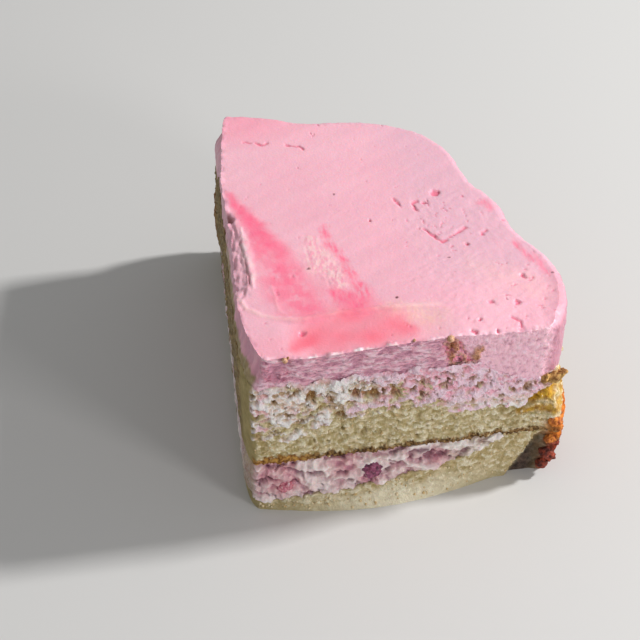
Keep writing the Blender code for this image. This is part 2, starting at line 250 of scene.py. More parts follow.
def hiddenFaces(faces, inside):
    centres = ((face, face.calc_center_median()) for face in faces)
    return [face for face, middle in centres if max(abs(middle.x), abs(middle.y)) < inside]


def inOrder(items, place):  # the operators leave an order that varies from run to run
    for index, item in enumerate(sorted(items, key=place)):
        item.index = index
    items.sort()


def unitSlab(across, deep, rows, topShows, edgeRings=5):  # closed slab, -1 to 1 across and 0 to 1 up
    bm = bmesh.new()
    bmesh.ops.create_grid(bm, x_segments=across, y_segments=deep, size=1.0)
    bmesh.ops.reverse_faces(bm, faces=bm.faces)
    inside = 1.0 - 2.0 * edgeRings / min(across, deep)
    if not topShows:  # both faces are hidden: plain inside the edge rings
        bmesh.ops.dissolve_faces(bm, faces=hiddenFaces(bm.faces, inside), use_verts=True)
    grown = bmesh.ops.extrude_face_region(bm, geom=bm.faces[:], use_keep_orig=True)
    raised = [item for item in grown["geom"] if isinstance(item, bmesh.types.BMVert)]
    bmesh.ops.translate(bm, verts=raised, vec=(0.0, 0.0, 1.0))
    bmesh.ops.recalc_face_normals(bm, faces=bm.faces)
    if topShows:
        lowFaces = [face for face in bm.faces if face.calc_center_median().z < 0.1]
        bmesh.ops.dissolve_faces(bm, faces=hiddenFaces(lowFaces, inside), use_verts=True)
    uprights = [edge for edge in bm.edges if abs(edge.verts[0].co.z - edge.verts[1].co.z) > 0.5]
    bmesh.ops.subdivide_edges(bm, edges=uprights, cuts=rows - 1)
    inOrder(bm.verts, lambda vert: vert.co[:])
    inOrder(bm.faces, lambda face: face.calc_center_median()[:])
    return bm


def layerForm(name, settings, bottom, top, inset, topShows=False):
    mesh = meshFrom(name, unitSlab(settings["across"], settings["deep"], settings["rows"], topShows))
    a, b, up = readPoints(mesh.vertices, "co").T
    up = 1.0 - (1.0 - up) ** settings.get("rowSpread", 1.0)
    ring = np.maximum(np.abs(a), np.abs(b))
    safe = np.maximum(ring, 1e-6)
    dx, dy = slabDirection(a / safe, b / safe)
    middleX, middleY = cake["middle"]
    x, y = np.full_like(a, middleX), np.full_like(a, middleY)
    for _ in range(4):
        z = bottom(x, y) * (1.0 - up) + top(x, y) * up
        reach, rimness = sideReach(dx, dy, z)
        reach = ring * (reach - inset(middleX + reach * dx, middleY + reach * dy, z, rimness))
        x, y = middleX + reach * dx, middleY + reach * dy
    points = np.stack((x, y, z), 1)
    mesh.vertices.foreach_set("co", points.ravel())
    mesh.update()
    normals = readPoints(mesh.vertex_normals, "vector")
    onSide = after(ring, cake["sideFrom"], 1.0 - cake["sideFrom"])
    turnShare, turnLength = cake["leftTurn"]
    onLeft = onSide * (1.0 - rimness) * after(y, (x - leftCut(y, z)) * turnShare, turnLength)
    parts = {"side": onSide, "rim": onSide * rimness, "left": onLeft, "crust": onSide * onCrust(rimness)}
    parts["front"] = np.maximum(onSide * (1.0 - rimness) - onLeft, 0.0)
    parts["top"] = after(normals[:, 2], *cake["topSteep"]) if topShows else np.zeros_like(x)
    return mesh, points, normals, parts


def settle(name, mesh, points, masks, finish, nodes=(), sharpFrom=None):  # into the part's frame
    shift = np.array((*cake["corner"], 0.0))
    placed = np.clip((points + shift) * 0.001, np.array(cadBox[0]), np.array(cadBox[1]))
    mesh.vertices.foreach_set("co", placed.ravel())
    for mask, values in masks.items():
        layer = mesh.attributes.new(mask, "FLOAT", "POINT")
        layer.data.foreach_set("value", np.asarray(values, np.float32))
    mesh.update()
    mesh.shade_smooth()
    if sharpFrom is not None:
        mesh.set_sharp_from_angle(angle=math.radians(sharpFrom))
    mesh.materials.append(finish)
    piece = addObject(name, mesh)
    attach(piece, "root")
    if nodes:
        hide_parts(*nodes)
    triangles = sum(len(polygon.vertices) - 2 for polygon in mesh.polygons)
    print(f"{name}: {triangles} triangles")


def strokeShare(flat, line, halfWidth=1.0, fade=0.5):  # 1 on a drawn line; a third value widens it there
    best = np.full(len(flat), 1e3)
    line = [(*point, 1.0)[:3] for point in line]
    for start, end in zip(line[:-1], line[1:]):
        begin, step = np.array(start[:2]), np.subtract(end[:2], start[:2])
        share = np.clip((flat - begin) @ step / (step @ step), 0.0, 1.0)
        wide = halfWidth * (start[2] + (end[2] - start[2]) * share)
        best = np.minimum(best, np.linalg.norm(flat - begin - share[:, None] * step, axis=1) / wide)
    return smoothStep((1.0 + fade - best) / (2.0 * fade))


def anyStroke(flat, lines, halfWidth, fade):
    return most(*(strokeShare(flat, line, halfWidth, fade) for line in lines))


def spotShare(flat, spots, fade=0.35):  # 1 inside round spots: (across, up, radius)
    share = np.zeros(len(flat))
    for across, up, radius in spots:
        distance = np.hypot(flat[:, 0] - across, flat[:, 1] - up) / radius
        share = np.maximum(share, smoothStep((1.0 + fade - distance) / (2.0 * fade)))
    return share


# Finishes
def newFinish(name, roughness, specular=0.4):
    material = bpy.data.materials.new(name)
    material.use_nodes = True
    shader = material.node_tree.nodes["Principled BSDF"]
    shader.inputs["Roughness"].default_value = roughness
    shader.inputs["Specular IOR Level"].default_value = specular
    return material, material.node_tree, shader


def put(tree, kind, inputs=None, **settings):
    node = tree.nodes.new(kind)
    for key, value in settings.items():
        setattr(node, key, value)
    for socket, value in (inputs or {}).items():
        if isinstance(value, bpy.types.NodeSocket):
            tree.links.new(value, node.inputs[socket])
        else:
            node.inputs[socket].default_value = value
    return node


def cakePlaces(tree, stretch=(1.0, 1.0, 1.0), turn=(0.0, 0.0, 0.0)):  # millimetres
    spot = put(tree, "ShaderNodeTexCoord").outputs["Object"]
    inputs = {"Vector": spot, "Scale": tuple(1000.0 * s for s in stretch), "Rotation": turn}
    return put(tree, "ShaderNodeMapping", inputs).outputs["Vector"]


def spread(tree, value, low, high, start=0.0, end=1.0):  # start..end becomes low..high
    inputs = {"Value": value, "From Min": start, "From Max": end, "To Min": low, "To Max": high}
    return put(tree, "ShaderNodeMapRange", inputs).outputs["Result"]


def speckle(tree, places, size, detail=3.0, low=0.35, high=0.65):  # noise brought to 0..1
    cloud = put(tree, "ShaderNodeTexNoise", {"Vector": places, "Scale": 1.0 / size, "Detail": detail})
    return spread(tree, cloud.outputs["Fac"], 0.0, 1.0, low, high)


def maskOf(tree, name):
    return put(tree, "ShaderNodeAttribute", attribute_name=name).outputs["Fac"]


def combined(tree, first, second, operation="MULTIPLY"):
    return put(tree, "ShaderNodeMath", {0: first, 1: second}, operation=operation, use_clamp=True).outputs[0]


def blend(tree, share, under, over):  # of two values
    return put(tree, "ShaderNodeMix", {0: share, 2: under, 3: over}, data_type="FLOAT").outputs[0]


def tint(tree, share, under, over):  # of two colours
    rgba = [value if isinstance(value, bpy.types.NodeSocket) else (*value, 1.0) for value in (under, over)]
    return put(tree, "ShaderNodeMix", {0: share, 6: rgba[0], 7: rgba[1]}, data_type="RGBA").outputs[2]


def mottled(tree, places, size, dark, light, *cloud):  # two colours in patches
    return tint(tree, speckle(tree, places, size, *cloud), dark, light)


def coats(tree, colour, *layers):  # each layer: mask, strength, colour laid over what is there
    for mask, strength, over in layers:
        colour = tint(tree, combined(tree, maskOf(tree, mask), strength), colour, over)
    return colour


def finishWith(tree, shader, colour, roughness=None, reliefs=(), soft=None):
    tree.links.new(colour, shader.inputs["Base Color"])
    if roughness is not None:
        tree.links.new(roughness, shader.inputs["Roughness"])
    normal = None
    for height, depth in reliefs:  # millimetres
        inputs = {"Height": height, "Strength": 1.0, "Distance": depth * 0.001}
        if normal is not None:
            inputs["Normal"] = normal
        normal = put(tree, "ShaderNodeBump", inputs).outputs["Normal"]
    if normal is not None:
        tree.links.new(normal, shader.inputs["Normal"])
    if soft is not None:  # light passing under the surface: weight, millimetres
        shader.inputs["Subsurface Weight"].default_value = soft[0]
        shader.inputs["Subsurface Scale"].default_value = soft[1] * 0.001


# Camera and light
view = {
    "place": (-31.91, -294.32, 341.58),  # mm from the cake's corner
    "tilt": 48.0,
    "turn": -9.881,
    "lens": 84.375,
    "lights": {  # watts, metres from the part's middle, size, colour
        "keyLight": (23.0, (1.20, 0.12, 0.92), 0.14, (1.0, 0.985, 0.965)),
        "frontLight": (1.75, (0.46, -0.58, 0.30), 0.16, (1.0, 0.965, 0.955)),
    },
    "fill": (0.985, 0.985, 0.972),
    "fillStrength": 0.37,
    "floorColour": (0.63, 0.63, 0.628),
    "floorHalf": 3.0,  # metres
    "floorRoughness": 0.6,
}

camera = bpy.data.cameras.new("camera")
camera.lens = view["lens"]
cameraObject = addObject("camera", camera)
cornerPlace = (*cake["corner"], 0.0)
cameraObject.location = [(place + shift) * 0.001 for place, shift in zip(view["place"], cornerPlace)]
cameraObject.rotation_euler = (math.radians(view["tilt"]), 0.0, math.radians(view["turn"]))
bpy.context.scene.camera = cameraObject
bpy.context.scene.view_settings.view_transform = "Standard"

for name, (watts, place, size, colour) in view["lights"].items():
    light = bpy.data.lights.new(name, "AREA")
    light.energy = watts
    light.size = size
    light.color = colour
    lightObject = addObject(name, light)
    lightObject.location = place
    lightObject.rotation_euler = (-Vector(place)).to_track_quat("-Z", "Y").to_euler()

studio = bpy.data.worlds.new("studio")
studio.use_nodes = True
studio.node_tree.nodes["Background"].inputs["Color"].default_value = (*view["fill"], 1.0)
studio.node_tree.nodes["Background"].inputs["Strength"].default_value = view["fillStrength"]
bpy.context.scene.world = studio

bm = bmesh.new()
bmesh.ops.create_grid(bm, x_segments=1, y_segments=1, size=view["floorHalf"])
floorMesh = meshFrom("floor", bm)
floorFinish, _, floorShader = newFinish("paleFloor", view["floorRoughness"])
floorShader.inputs["Base Color"].default_value = (*view["floorColour"], 1.0)
floorMesh.materials.append(floorFinish)
floor = addObject("floor", floorMesh)
print("camera, light and floor set")


# Icing. A drawn line is a row of (x, y) or, on the front cut, (x, z), each with its width where it varies.
icing = {
    "across": 230,
    "deep": 230,
    "rows": 34,
    "rowSpread": 1.25,
    "crown": (1.9, 54.0, 30.0),  # height, x of the crest, spread
    "rimRound": 2.8,
    "ridge": ((-0.5, 30.7), (2.2, 22.9), (6.0, 19.4), (9.9, 17.5), (14.5, 16.1), (17.6, 15.8), (24.1, 16.4),
              (32.7, 16.2), (40.1, 15.9), (47.0, 15.2), (56.0, 14.2)),
    "ridgeHigh": (0.26, 0.65),  # height, half width
    "frontRound": (0.9, 1.6, 54.0, 14.0),  # the front edge softens to the right: drop, width, x from, over
    "innerLine": (
        (10.5, 32.1, 0.5), (10.9, 25.4, 1.0), (11.0, 20.5, 1.2), (12.6, 18.7, 1.0), (17.9, 17.8, 1.0),
        (24.4, 18.0, 1.0), (32.7, 16.8, 0.8)),
    "innerHigh": (0.12, 0.4),
    "terrace": (0.55, 1.4, 8.0, 60.0),  # drop in front of the ridge, width of the step, x from, x to
    "foldLine": ((0.0, 24.0), (2.6, 28.5), (4.3, 33.0), (4.7, 38.0), (4.6, 46.0), (4.5, 54.0), (4.2, 60.0),
                 (3.4, 65.0), (1.6, 71.0)),  # the top breaks down towards the left edge from here
    "foldDrops": (0.65, 0.9, 1.2, 4.4),  # first drop and its width, second drop and its width
    "foldEnds": (24.0, 71.0),
    "foldHigh": (0.24, 1.4),  # crest along the break: height, half width
    "fold": ((5.7, 60.2, 0.15), (5.5, 55.3, 0.5), (5.5, 49.0, 0.9), (5.6, 42.0, 0.85), (5.5, 36.2, 0.5),
             (5.2, 31.4, 0.15)),
    "groove": ((4.5, 56.0, 0.3), (4.4, 52.1, 0.8), (4.6, 45.2, 1.0), (4.7, 38.3, 0.9), (4.6, 32.7, 0.3)),
    "grooveDeep": (0.45, 0.3),
    "hollow": ((1.5, 66.6, 1.4), (2.3, 65.1, 1.5), (3.1, 63.9, 0.8)),
    "hollowDeep": 1.1,
    "patch": (65.0, 54.0, 11.5),  # where the knife left small pits
    "creases": (((59.8, 49.8), (61.5, 46.7), (64.1, 43.0), (68.3, 45.5), (72.6, 48.5)),
                ((54.4, 66.3), (55.3, 61.5)), ((59.7, 58.3), (59.0, 63.1), (61.0, 63.6)),
                ((12.1, 104.0), (15.5, 103.2), (17.5, 101.2), (19.6, 102.0)),
                ((25.7, 100.2), (28, 99.2), (30.7, 97.1)), ((77.9, 46.2), (76.9, 44.4)),
                ((75.2, 6.0), (76.9, 4.0), (76.6, 0.9), (76.9, -2.8)), ((62.9, 6.9), (63.4, 5.0)),
                ((70.6, 13.6), (71.4, 11.8))),
    "pits": ((67.1, 66.8, 1.5), (62.9, 62.5, 0.6), (70.9, 40.7, 0.7), (83.4, 23.5, 0.9), (78.3, 12.0, 1.0),
             (66.0, 5.5, 0.5), (69.9, 0.8, 0.6), (62.9, 1.2, 0.6), (16.1, 10.1, 0.9), (44.8, 57.0, 0.5)),
    "specks": (
        (92.3, 23.5, 0.4), (45.0, 19.4, 0.5), (22.5, 37.3, 0.45), (64.1, 35.1, 0.3), (36.2, 71.6, 0.35)),
    "faintStrokes": (
        ((46.0, 26.2), (53.0, 27.1)), ((57.5, 28.6), (62.5, 27.4)), ((50.0, 10.9), (55.0, 10.3)),
        ((70.0, 30.2), (75.0, 29.4)), ((34.0, 63.0), (39.0, 62.2)), ((66.0, 22.0), (70.0, 21.2))),
    "markDepths": (0.42, 0.6, 0.30, 0.12),  # creases, pits, scribble, faint strokes
    "swirls": (0.09, 0.05, 0.05),  # relief left by the spatula: long waves, strokes, fine grain
    "knife": (0.50, 0.34, 0.20),  # relief of the cut icing: dragged lines, crests, fine grain
    "workedFrom": (52.0, 12.0),  # the cut is mottled, not dragged, to the right: x from, over
    "edgeRag": (1.7, 4.5),  # unevenness of the icing's lower edge at the cuts, size
    "rimRag": (0.30, 2.8),  # small chips along the rim: depth, size
    "leftSlope": 1.3,  # the left cut leans in towards its upper edge
    "cavity": ((56.6, 57.5, 0.7), (58.5, 52.5, 0.9), (60.8, 47.5, 1.2), (61.2, 43.0, 1.0)),
    "cavityWide": 3.4,
    "cavityCrumbs": (
        (56.8, 56.6, 1.5), (64.6, 54.4, 1.6), (64.0, 52.0, 1.4), (57.2, 52.4, 1.1), (59.6, 49.0, 0.8)),
    "tornCorner": ((3.6, 55.5), (6.0, 51.8), (9.0, 53.0)),
    "hotStreak": (
        (4.0, 77.0, 1.4), (6.6, 68.0, 2.2), (10.2, 57.5, 2.9), (13.6, 48.5, 3.5), (16.8, 40.0, 3.6),
        (18.8, 33.0, 3.2), (20.2, 26.0, 3.0)),
    "softStreak": (
        (9.0, 56.0, 2.4), (12.4, 45.0, 4.8), (15.0, 33.0, 6.6), (17.8, 24.0, 6.8), (19.5, 20.5, 5.0)),
    "thinStreak": (
        (29.4, 56.5, 0.9), (30.4, 50.0, 1.3), (32.0, 43.0, 1.4), (33.4, 36.0, 1.3), (34.8, 29.5, 2.0),
        (36.4, 23.0, 2.4)),
    "coralPatch": ((27.3, 26.6, 1.8), (31.0, 22.0, 3.8), (33.6, 19.4, 4.4)),
    "marbling": ((25.4, 50.6, 1.6), (25.6, 44.0, 3.2), (27.4, 36.5, 4.0), (29.8, 29.6, 2.6)),
    "coralStrip": (
        (14.5, 6.0, 0.4), (22.0, 8.6, 0.9), (30.5, 9.8, 1.05), (38.5, 8.0, 0.9), (43.5, 5.4, 0.55)),
    "rimBlush": (((80.6, 59.4, 1.4), (82.0, 57.4, 1.4)),
                 ((85.2, 39.0, 1.0), (87.2, 33.5, 1.4), (89.6, 28.0, 1.5), (91.2, 23.4, 1.3))),
    "tanGlow": ((42.7, 15.4, 0.6), (46.5, 12.6, 0.8), (52.0, 9.5, 1.0)),
    "paleGlow": ((69.4, 31.0, 0.6), (78.0, 24.0, 1.0), (86.5, 16.6, 0.7)),
    "backBlush": (0.26, 98.0, 14.0, 44.0),  # pinker towards the far left corner: share, y from, over, x to
    "wetLip": (8.0, 48.0, 2.2, 0.5),  # glossy lip of the front edge: x from, x to, depth, height
}


def icingUnderside(x, y):
    near = np.clip(1.0 - rimDistance(x, y) / cake["rimSagWidth"], 0.0, 1.0)
    level = cake["icingLevel"] - cake["rimSag"] * (1.0 - (1.0 - near) ** 2)
    high, size = icing["edgeRag"]
    return level + high * ragged(onPlate(x, y), size, 3.0, 4)


def icingTop(x, y):
    flat = onPlate(x, y)
    height, crestX, wide = icing["crown"]
    surface = cake["height"] + height * bump(x - crestX, wide) * bump(y, wide)
    uneven = 0.85 + 0.30 * grain(flat, 2.6, 2.0)
    drawn = wobbled(flat[:, :2], flat, 0.35, 2.4, (6.0, 16.0), grain)
    high, half = icing["ridgeHigh"]
    surface += high * uneven * strokeShare(drawn, icing["ridge"], half, 0.9) * before(x, 58.0, 14.0)
    high, half = icing["innerHigh"]
    surface += high * uneven * strokeShare(drawn, icing["innerLine"], half, 0.9)
    drop, step, start, end = icing["terrace"]
    ridgeX, ridgeY = zip(*icing["ridge"])
    surface -= drop * along(x, start, end, 10.0) * before(y, np.interp(x, ridgeX, ridgeY) - 0.6, step)
    first, firstWide, second, secondWide = icing["foldDrops"]
    foldX, foldY = zip(*icing["foldLine"])
    foldX = np.interp(y, foldY, foldX) + 0.25 * grain(flat, 3.0, 5.0)
    broken = along(y, *icing["foldEnds"], 7.0)
    surface -= broken * first * before(x, foldX, firstWide)
    surface -= broken * second * before(x, foldX - 1.0, secondWide)
    high, half = icing["foldHigh"]
    surface += high * (0.8 + 0.5 * grain(flat, 4.0, 21.0)) * strokeShare(drawn, icing["fold"], half, 0.95)
    deep, half = icing["grooveDeep"]
    surface -= deep * strokeShare(drawn, icing["groove"], half, 0.9)
    drop, wide, start, over = icing["frontRound"]
    surface -= drop * before(y, wide, wide) ** 2 * after(x, start, over)
    torn = wobbled(drawn, flat, 0.35, 1.8, (9.0, 19.0), grain)
    return surface - icing["hollowDeep"] * spotShare(torn, icing["hollow"], 0.6)


def icingInset(x, y, z, rimness):
    above = np.clip((z - cake["height"] + icing["rimRound"]) / icing["rimRound"], 0.0, 1.0)
    chipped, size = icing["rimRag"]
    chips = chipped * (1.0 + ragged(np.stack((x, y, z), 1), size, 4.0))
    slope = icing["leftSlope"] * after(z, 48.0, 9.0) * before(y, 90.0, 30.0) * before(x, 14.0, 6.0)
    rounded = icing["rimRound"] * (1.0 - np.sqrt(1.0 - above ** 2))
    return rimness * (rounded + chips) + (1.0 - rimness) * slope


def icingMarks(points, parts):  # what knife and spatula left in the top
    x, y, _ = points.T
    flat = onPlate(x, y)
    turned = onPlate(0.87 * x + 0.5 * y, 0.87 * y - 0.5 * x)
    worked = 0.5 + after(x, 48.0, 14.0) * before(y, 78.0, 20.0)
    waves, strokes, fine = icing["swirls"]
    relief = waves * grain(turned, (26.0, 5.0, 1.0), 3.0)
    relief = relief + strokes * worked * ragged(turned, (4.5, 1.3, 1.0), 8.0)
    relief = relief + fine * worked * ragged(flat, 2.2, 14.0, 4)
    wobble = wobbled(flat[:, :2], flat, 0.6, 1.9, (1.0, 7.0), grain)
    creases = anyStroke(wobble, icing["creases"], 0.42, 0.8) * smoothStep(1.0 + 1.0 * grain(flat, 1.6, 5.0))
    pits = spotShare(wobble, icing["pits"])
    patchX, patchY, wide = icing["patch"]
    patch = bump(np.hypot(x - patchX, y - patchY), wide)
    right = 0.55 * after(x, 70.0, 8.0) * before(y, 40.0, 15.0)
    scribble = before(np.abs(grain(stirred(flat, 2.0, 17.0, 0.5), 2.0, 4.0)), 0.11, 0.09)
    dense = grain(flat, 2.6, 12.0) - 0.78 + 0.86 * np.maximum(patch, right)
    scribble = scribble * smoothStep(dense / 0.25)
    faint = anyStroke(wobble, icing["faintStrokes"], 0.4, 0.9)
    curdled = strokeShare(wobble, icing["marbling"], 1.1, 0.8)
    curdled = curdled * crests(stirred(flat, 1.5, 27.0, 0.6), (1.2, 2.2, 1.0), 23.0, 0.6)
    start, end, deep, high = icing["wetLip"]
    lip = along(x, start, end, 4.0) * smoothStep((deep - y + 0.5 * grain(flat, 2.2, 36.0)) / 1.4)
    lip = lip * smoothStep(0.45 + 1.2 * grain(flat, (4.2, 9.0, 1.0), 6.0))
    beads = smoothStep(0.5 + 0.7 * ragged(points, (2.8, 2.8, 2.0), 26.0))
    flank = before(x, 5.0, 2.0) * along(y, 26.0, 70.0, 5.0) * ragged(points, (1.5, 2.6, 1.5), 46.0, 4)
    for depth, mark in zip(icing["markDepths"], (creases, pits, scribble, faint)):
        relief = relief - depth * mark
    relief = relief + high * lip * beads + 0.4 * flank + 0.14 * curdled
    glint = along(x, start, end, 3.0) * smoothStep((0.8 - y + 0.9 * ragged(flat, 1.2, 86.0)) / 0.5)
    glint = glint * smoothStep(0.35 + 1.5 * grain(flat, (3.2, 9.0, 1.0), 6.0))
    # the second share paints creases, pits and scribbles a deeper red: partly the icing's own colour, partly
    # painted shade in the marks
    found = (relief, most(creases, pits, 0.75 * scribble), lip, glint)
    return [share * parts["top"] for share in found]


def icingCut(points, parts):  # the icing's cut and round sides
    x = points[:, 0]
    lines, cresting, fine = icing["knife"]
    slanted = points + np.stack((0.0 * x, 0.0 * x, -0.05 * x), 1)
    dragged = ragged(stirred(slanted, 5.0, 9.0, 0.9), (4.6, 4.6, 1.5), 5.0, 5)
    line = crests(stirred(slanted, 3.0, 19.0, 0.5), (6.5, 6.5, 1.7), 7.0, 0.26)
    line = line * smoothStep(0.25 + 1.2 * grain(points, (4.0, 4.0, 2.0), 3.0))
    worked = after(x, *icing["workedFrom"])
    form = dragged * (1.0 - worked) + 0.5 * ragged(points, (2.2, 2.2, 1.3), 57.0, 4) * worked
    relief = lines * form + cresting * line * (1.0 - 0.75 * worked)
    relief = relief + fine * ragged(points, (1.1, 1.1, 0.7), 55.0)
    side = parts["front"] + 0.5 * parts["rim"] * (1.0 - 0.6 * parts["top"])
    left = parts["left"] * ragged(points, (2.4, 2.4, 9.0), 15.0, 4)
    shade = smoothStep((-form - 0.04) / 0.3) * parts["front"] * (1.0 - 0.3 * worked)
    # painted highlight: lighter pink on the crests and raised parts of the cut
    light = most(0.9 * line * (1.0 - 0.7 * worked), after(form, 0.05, 0.3), 0.3 * worked) * parts["front"]
    shade = np.maximum(shade, 0.8 * parts["left"] * smoothStep(0.45 - left))
    return relief * side + 0.45 * left, shade, light


def icingCavity(points, parts):  # crumbs dragged up into the icing's cut
    face = wobbled(points[:, ::2], points, 0.9, 1.8, (31.0, 37.0))
    cavity = parts["front"] * strokeShare(face, icing["cavity"], icing["cavityWide"], 0.35)
    crumbs = parts["front"] * spotShare(face, icing["cavityCrumbs"])
    chunks = ragged(points, 1.4, 41.0, 4)
    corner = parts["front"] * strokeShare(face, icing["tornCorner"], 1.9, 0.6)
    relief = cavity * (-0.9 + 1.3 * chunks) + crumbs * (0.7 + 0.6 * chunks) + corner * (0.3 + 0.9 * chunks)
    brown = np.maximum(0.8 * cavity * after(chunks, 0.02, 0.2), crumbs)
    hot = cavity * before(chunks, 0.1, 0.2) * after(chunks, -0.5, 0.2)
    hot = 0.55 * np.maximum(hot, corner * smoothStep(0.3 - chunks))
    return relief, brown, np.maximum(cavity, 0.6 * corner) * smoothStep((-chunks - 0.15) / 0.25), hot


def stains(points, parts):
    x, y, _ = points.T
    flat = onPlate(x, y)
    still, warped = flat[:, :2], stirred(flat, 5.0, 1.0, 1.3)[:, :2]

    def stroke(name, halfWidth=1.0, fade=0.9, places=warped):
        return strokeShare(places, icing[name], halfWidth, fade)

    fibres = smoothStep(0.5 + 0.8 * ragged(flat, (0.9, 3.2, 1.0), 4.0, 4))
    cloudy = 0.5 + 0.5 * ragged(stirred(flat, 4.0, 5.0, 1.0), (3.4, 5.5, 1.0), 9.0, 4)
    strong = after(y, 32.0, 20.0) * before(y, 84.0, 14.0)
    share, start, over, end = icing["backBlush"]
    hot = most(
        stroke("hotStreak") * (0.42 + 0.53 * strong) * (0.75 + 0.35 * cloudy),
        0.85 * stroke("softStreak", 1.0, 0.95) * smoothStep(0.38 + 0.8 * cloudy),
        share * after(y, start, over) * before(x, end, 30.0),
        0.42 * stroke("marbling", 1.25, 0.95) * smoothStep(0.75 - fibres),
        0.9 * stroke("thinStreak") * (0.25 + 0.75 * fibres),
        stroke("coralPatch") * (0.55 + 0.45 * fibres),
        0.65 * anyStroke(warped, icing["rimBlush"], 1.0, 0.9) * (0.3 + 0.7 * fibres))
    coral = stroke("coralStrip", 8.0, 0.8) * (0.8 + 0.25 * grain(flat, 7.0, 13.0))
    coral = np.maximum(coral, 0.14 * before(y, 13.0, 6.0) * before(x, 58.0, 10.0))
    cream = most(
        stroke("marbling", 1.15, 0.8) * after(fibres, 0.28, 0.35),
        0.9 * stroke("ridge", 0.7, 0.8, still) * (0.7 + 0.3 * fibres),
        0.35 * stroke("innerLine", 0.5, 0.8, still))
    tan = np.maximum(0.75 * stroke("tanGlow", 4.5, 0.95) * (0.3 + 0.7 * fibres),
                     0.28 * stroke("paleGlow", 6.0, 0.95) * (0.2 + 0.8 * fibres))
    torn = wobbled(still, flat, 0.35, 1.8, (9.0, 19.0), grain)
    # painted shade: dark red-brown in the hollow at the left edge and along the groove
    bruise = np.maximum(spotShare(torn, icing["hollow"], 0.5), 0.65 * stroke("groove", 0.35, 0.8, still))
    cool = after(x, 46.0, 22.0) * after(y, 16.0, 16.0) * smoothStep(0.45 + cloudy)
    found = {"hot": hot, "coral": coral, "cream": cream, "tan": tan, "bruise": bruise, "cool": cool,
             "speck": spotShare(still, icing["specks"])}
    return {name: share * parts["top"] for name, share in found.items()}


def icingFinish():
    material, tree, shader = newFinish("pinkIcing", 0.42)
    places = cakePlaces(tree)
    worked, cutFace = maskOf(tree, "worked"), maskOf(tree, "cutFace")
    colour = coats(
        tree, mottled(tree, places, 22.0, (0.89, 0.455, 0.56), (0.91, 0.50, 0.60)),
        ("cool", 1.0, (0.80, 0.46, 0.565)),
        # painted light: the cut face is painted a lighter pink than the top, and lighter still where worked
        # to the right, making up for its shade
        ("cutFace", 0.85, tint(tree, worked, (0.92, 0.46, 0.585), (0.98, 0.54, 0.66))),
        # painted highlight on the crests of the cut
        ("light", 0.85, (1.0, 0.70, 0.80)),
        # painted shade on the round side and on the top by the front right corner
        ("roundSide", 0.9, (0.46, 0.19, 0.26)),
        ("tan", 1.0, (0.96, 0.60, 0.53)),
        ("cream", 0.7, (0.96, 0.62, 0.62)),
        ("coral", 1.0, (1.0, 0.19, 0.27)),
        ("hot", 1.0, (1.0, 0.16, 0.29)),
        # deeper red in creases, pits and scribbles: partly the icing's own colour, partly painted shade
        ("crease", 0.75, (0.84, 0.13, 0.24)),
        ("shade", 0.6, (0.56, 0.24, 0.35)))
    cutLines = speckle(tree, cakePlaces(tree, (0.34, 0.34, 1.0), (0.0, 0.05, 0.0)), 0.62, 5.0, 0.36, 0.60)
    cutPattern = blend(tree, worked, cutLines, speckle(tree, places, 1.3, 4.0, 0.24, 0.60))
    # painted shade: the low parts of the cut's relief pattern are painted dark mauve, as the shade in its
    # knife lines
    darkLines = combined(tree, cutFace, combined(tree, 0.60, cutPattern, "SUBTRACT"))
    colour = coats(
        tree, tint(tree, darkLines, colour, (0.34, 0.11, 0.19)),
        # painted shade in the hollow and the groove
        ("bruise", 0.85, (0.32, 0.085, 0.08)),
        ("foldShine", 0.75, (0.84, 0.68, 0.69)),
        ("glint", 0.9, (1.0, 0.90, 0.92)),
        # crumb film on the icing's lower left side, painted dark olive: partly its own colour, partly
        # painted shade
        ("film", 1.0, mottled(tree, places, 2.5, (0.30, 0.21, 0.09), (0.48, 0.37, 0.20), 4.0)),
        ("crumbs", 1.0, mottled(tree, places, 1.0, (0.30, 0.11, 0.05), (0.82, 0.42, 0.24))),
        ("speck", 1.0, (0.16, 0.05, 0.06)))
    fine = speckle(tree, places, 0.7)
    strokes = speckle(tree, cakePlaces(tree, (0.25, 1.0, 1.0), (0.0, 0.0, 0.5)), 1.2)
    roughness = blend(tree, maskOf(tree, "wet"), spread(tree, fine, 0.36, 0.50), 0.12)
    reliefs = ((strokes, 0.02), (fine, 0.025), (combined(tree, cutFace, cutPattern), 0.26))
    finishWith(tree, shader, colour, roughness, reliefs, (0.12, 2.0))
    tree.links.new(maskOf(tree, "wet"), shader.inputs["Coat Weight"])
    shader.inputs["Coat Roughness"].default_value = 0.08
    return material


mesh, points, normals, parts = layerForm("icing_spread", icing, icingUnderside, icingTop, icingInset, True)
x, y, z = points.T
masks = stains(points, parts)
marks, masks["crease"], masks["wet"], masks["glint"] = icingMarks(points, parts)
cut, masks["shade"], masks["light"] = icingCut(points, parts)
dent, masks["crumbs"], hole, reddened = icingCavity(points, parts)
masks["shade"] = np.maximum(masks["shade"], hole)
masks["hot"] = np.maximum(masks["hot"], reddened)
shineLine = wobbled(points[:, :2], points, 0.5, 3.0, (6.0, 16.0), grain)
masks["foldShine"] = strokeShare(shineLine, icing["fold"], 1.5, 0.9) * parts["top"]
masks["foldShine"] *= smoothStep(0.55 + 0.8 * ragged(points, (1.4, 3.6, 1.4), 76.0, 4))
masks["cutFace"] = (parts["front"] + 0.08 * parts["rim"]) * (1.0 - parts["top"])
# painted shade: dark mauve on the icing's round side and on the top near the front right corner
rimCorner = before(rimDistance(x, y), 8.0, 6.0) * before(y, 32.0, 12.0)
masks["roundSide"] = np.maximum(parts["crust"] * before(z, 59.2, 2.2), 0.5 * rimCorner * parts["top"])
masks["worked"] = after(x, *icing["workedFrom"])
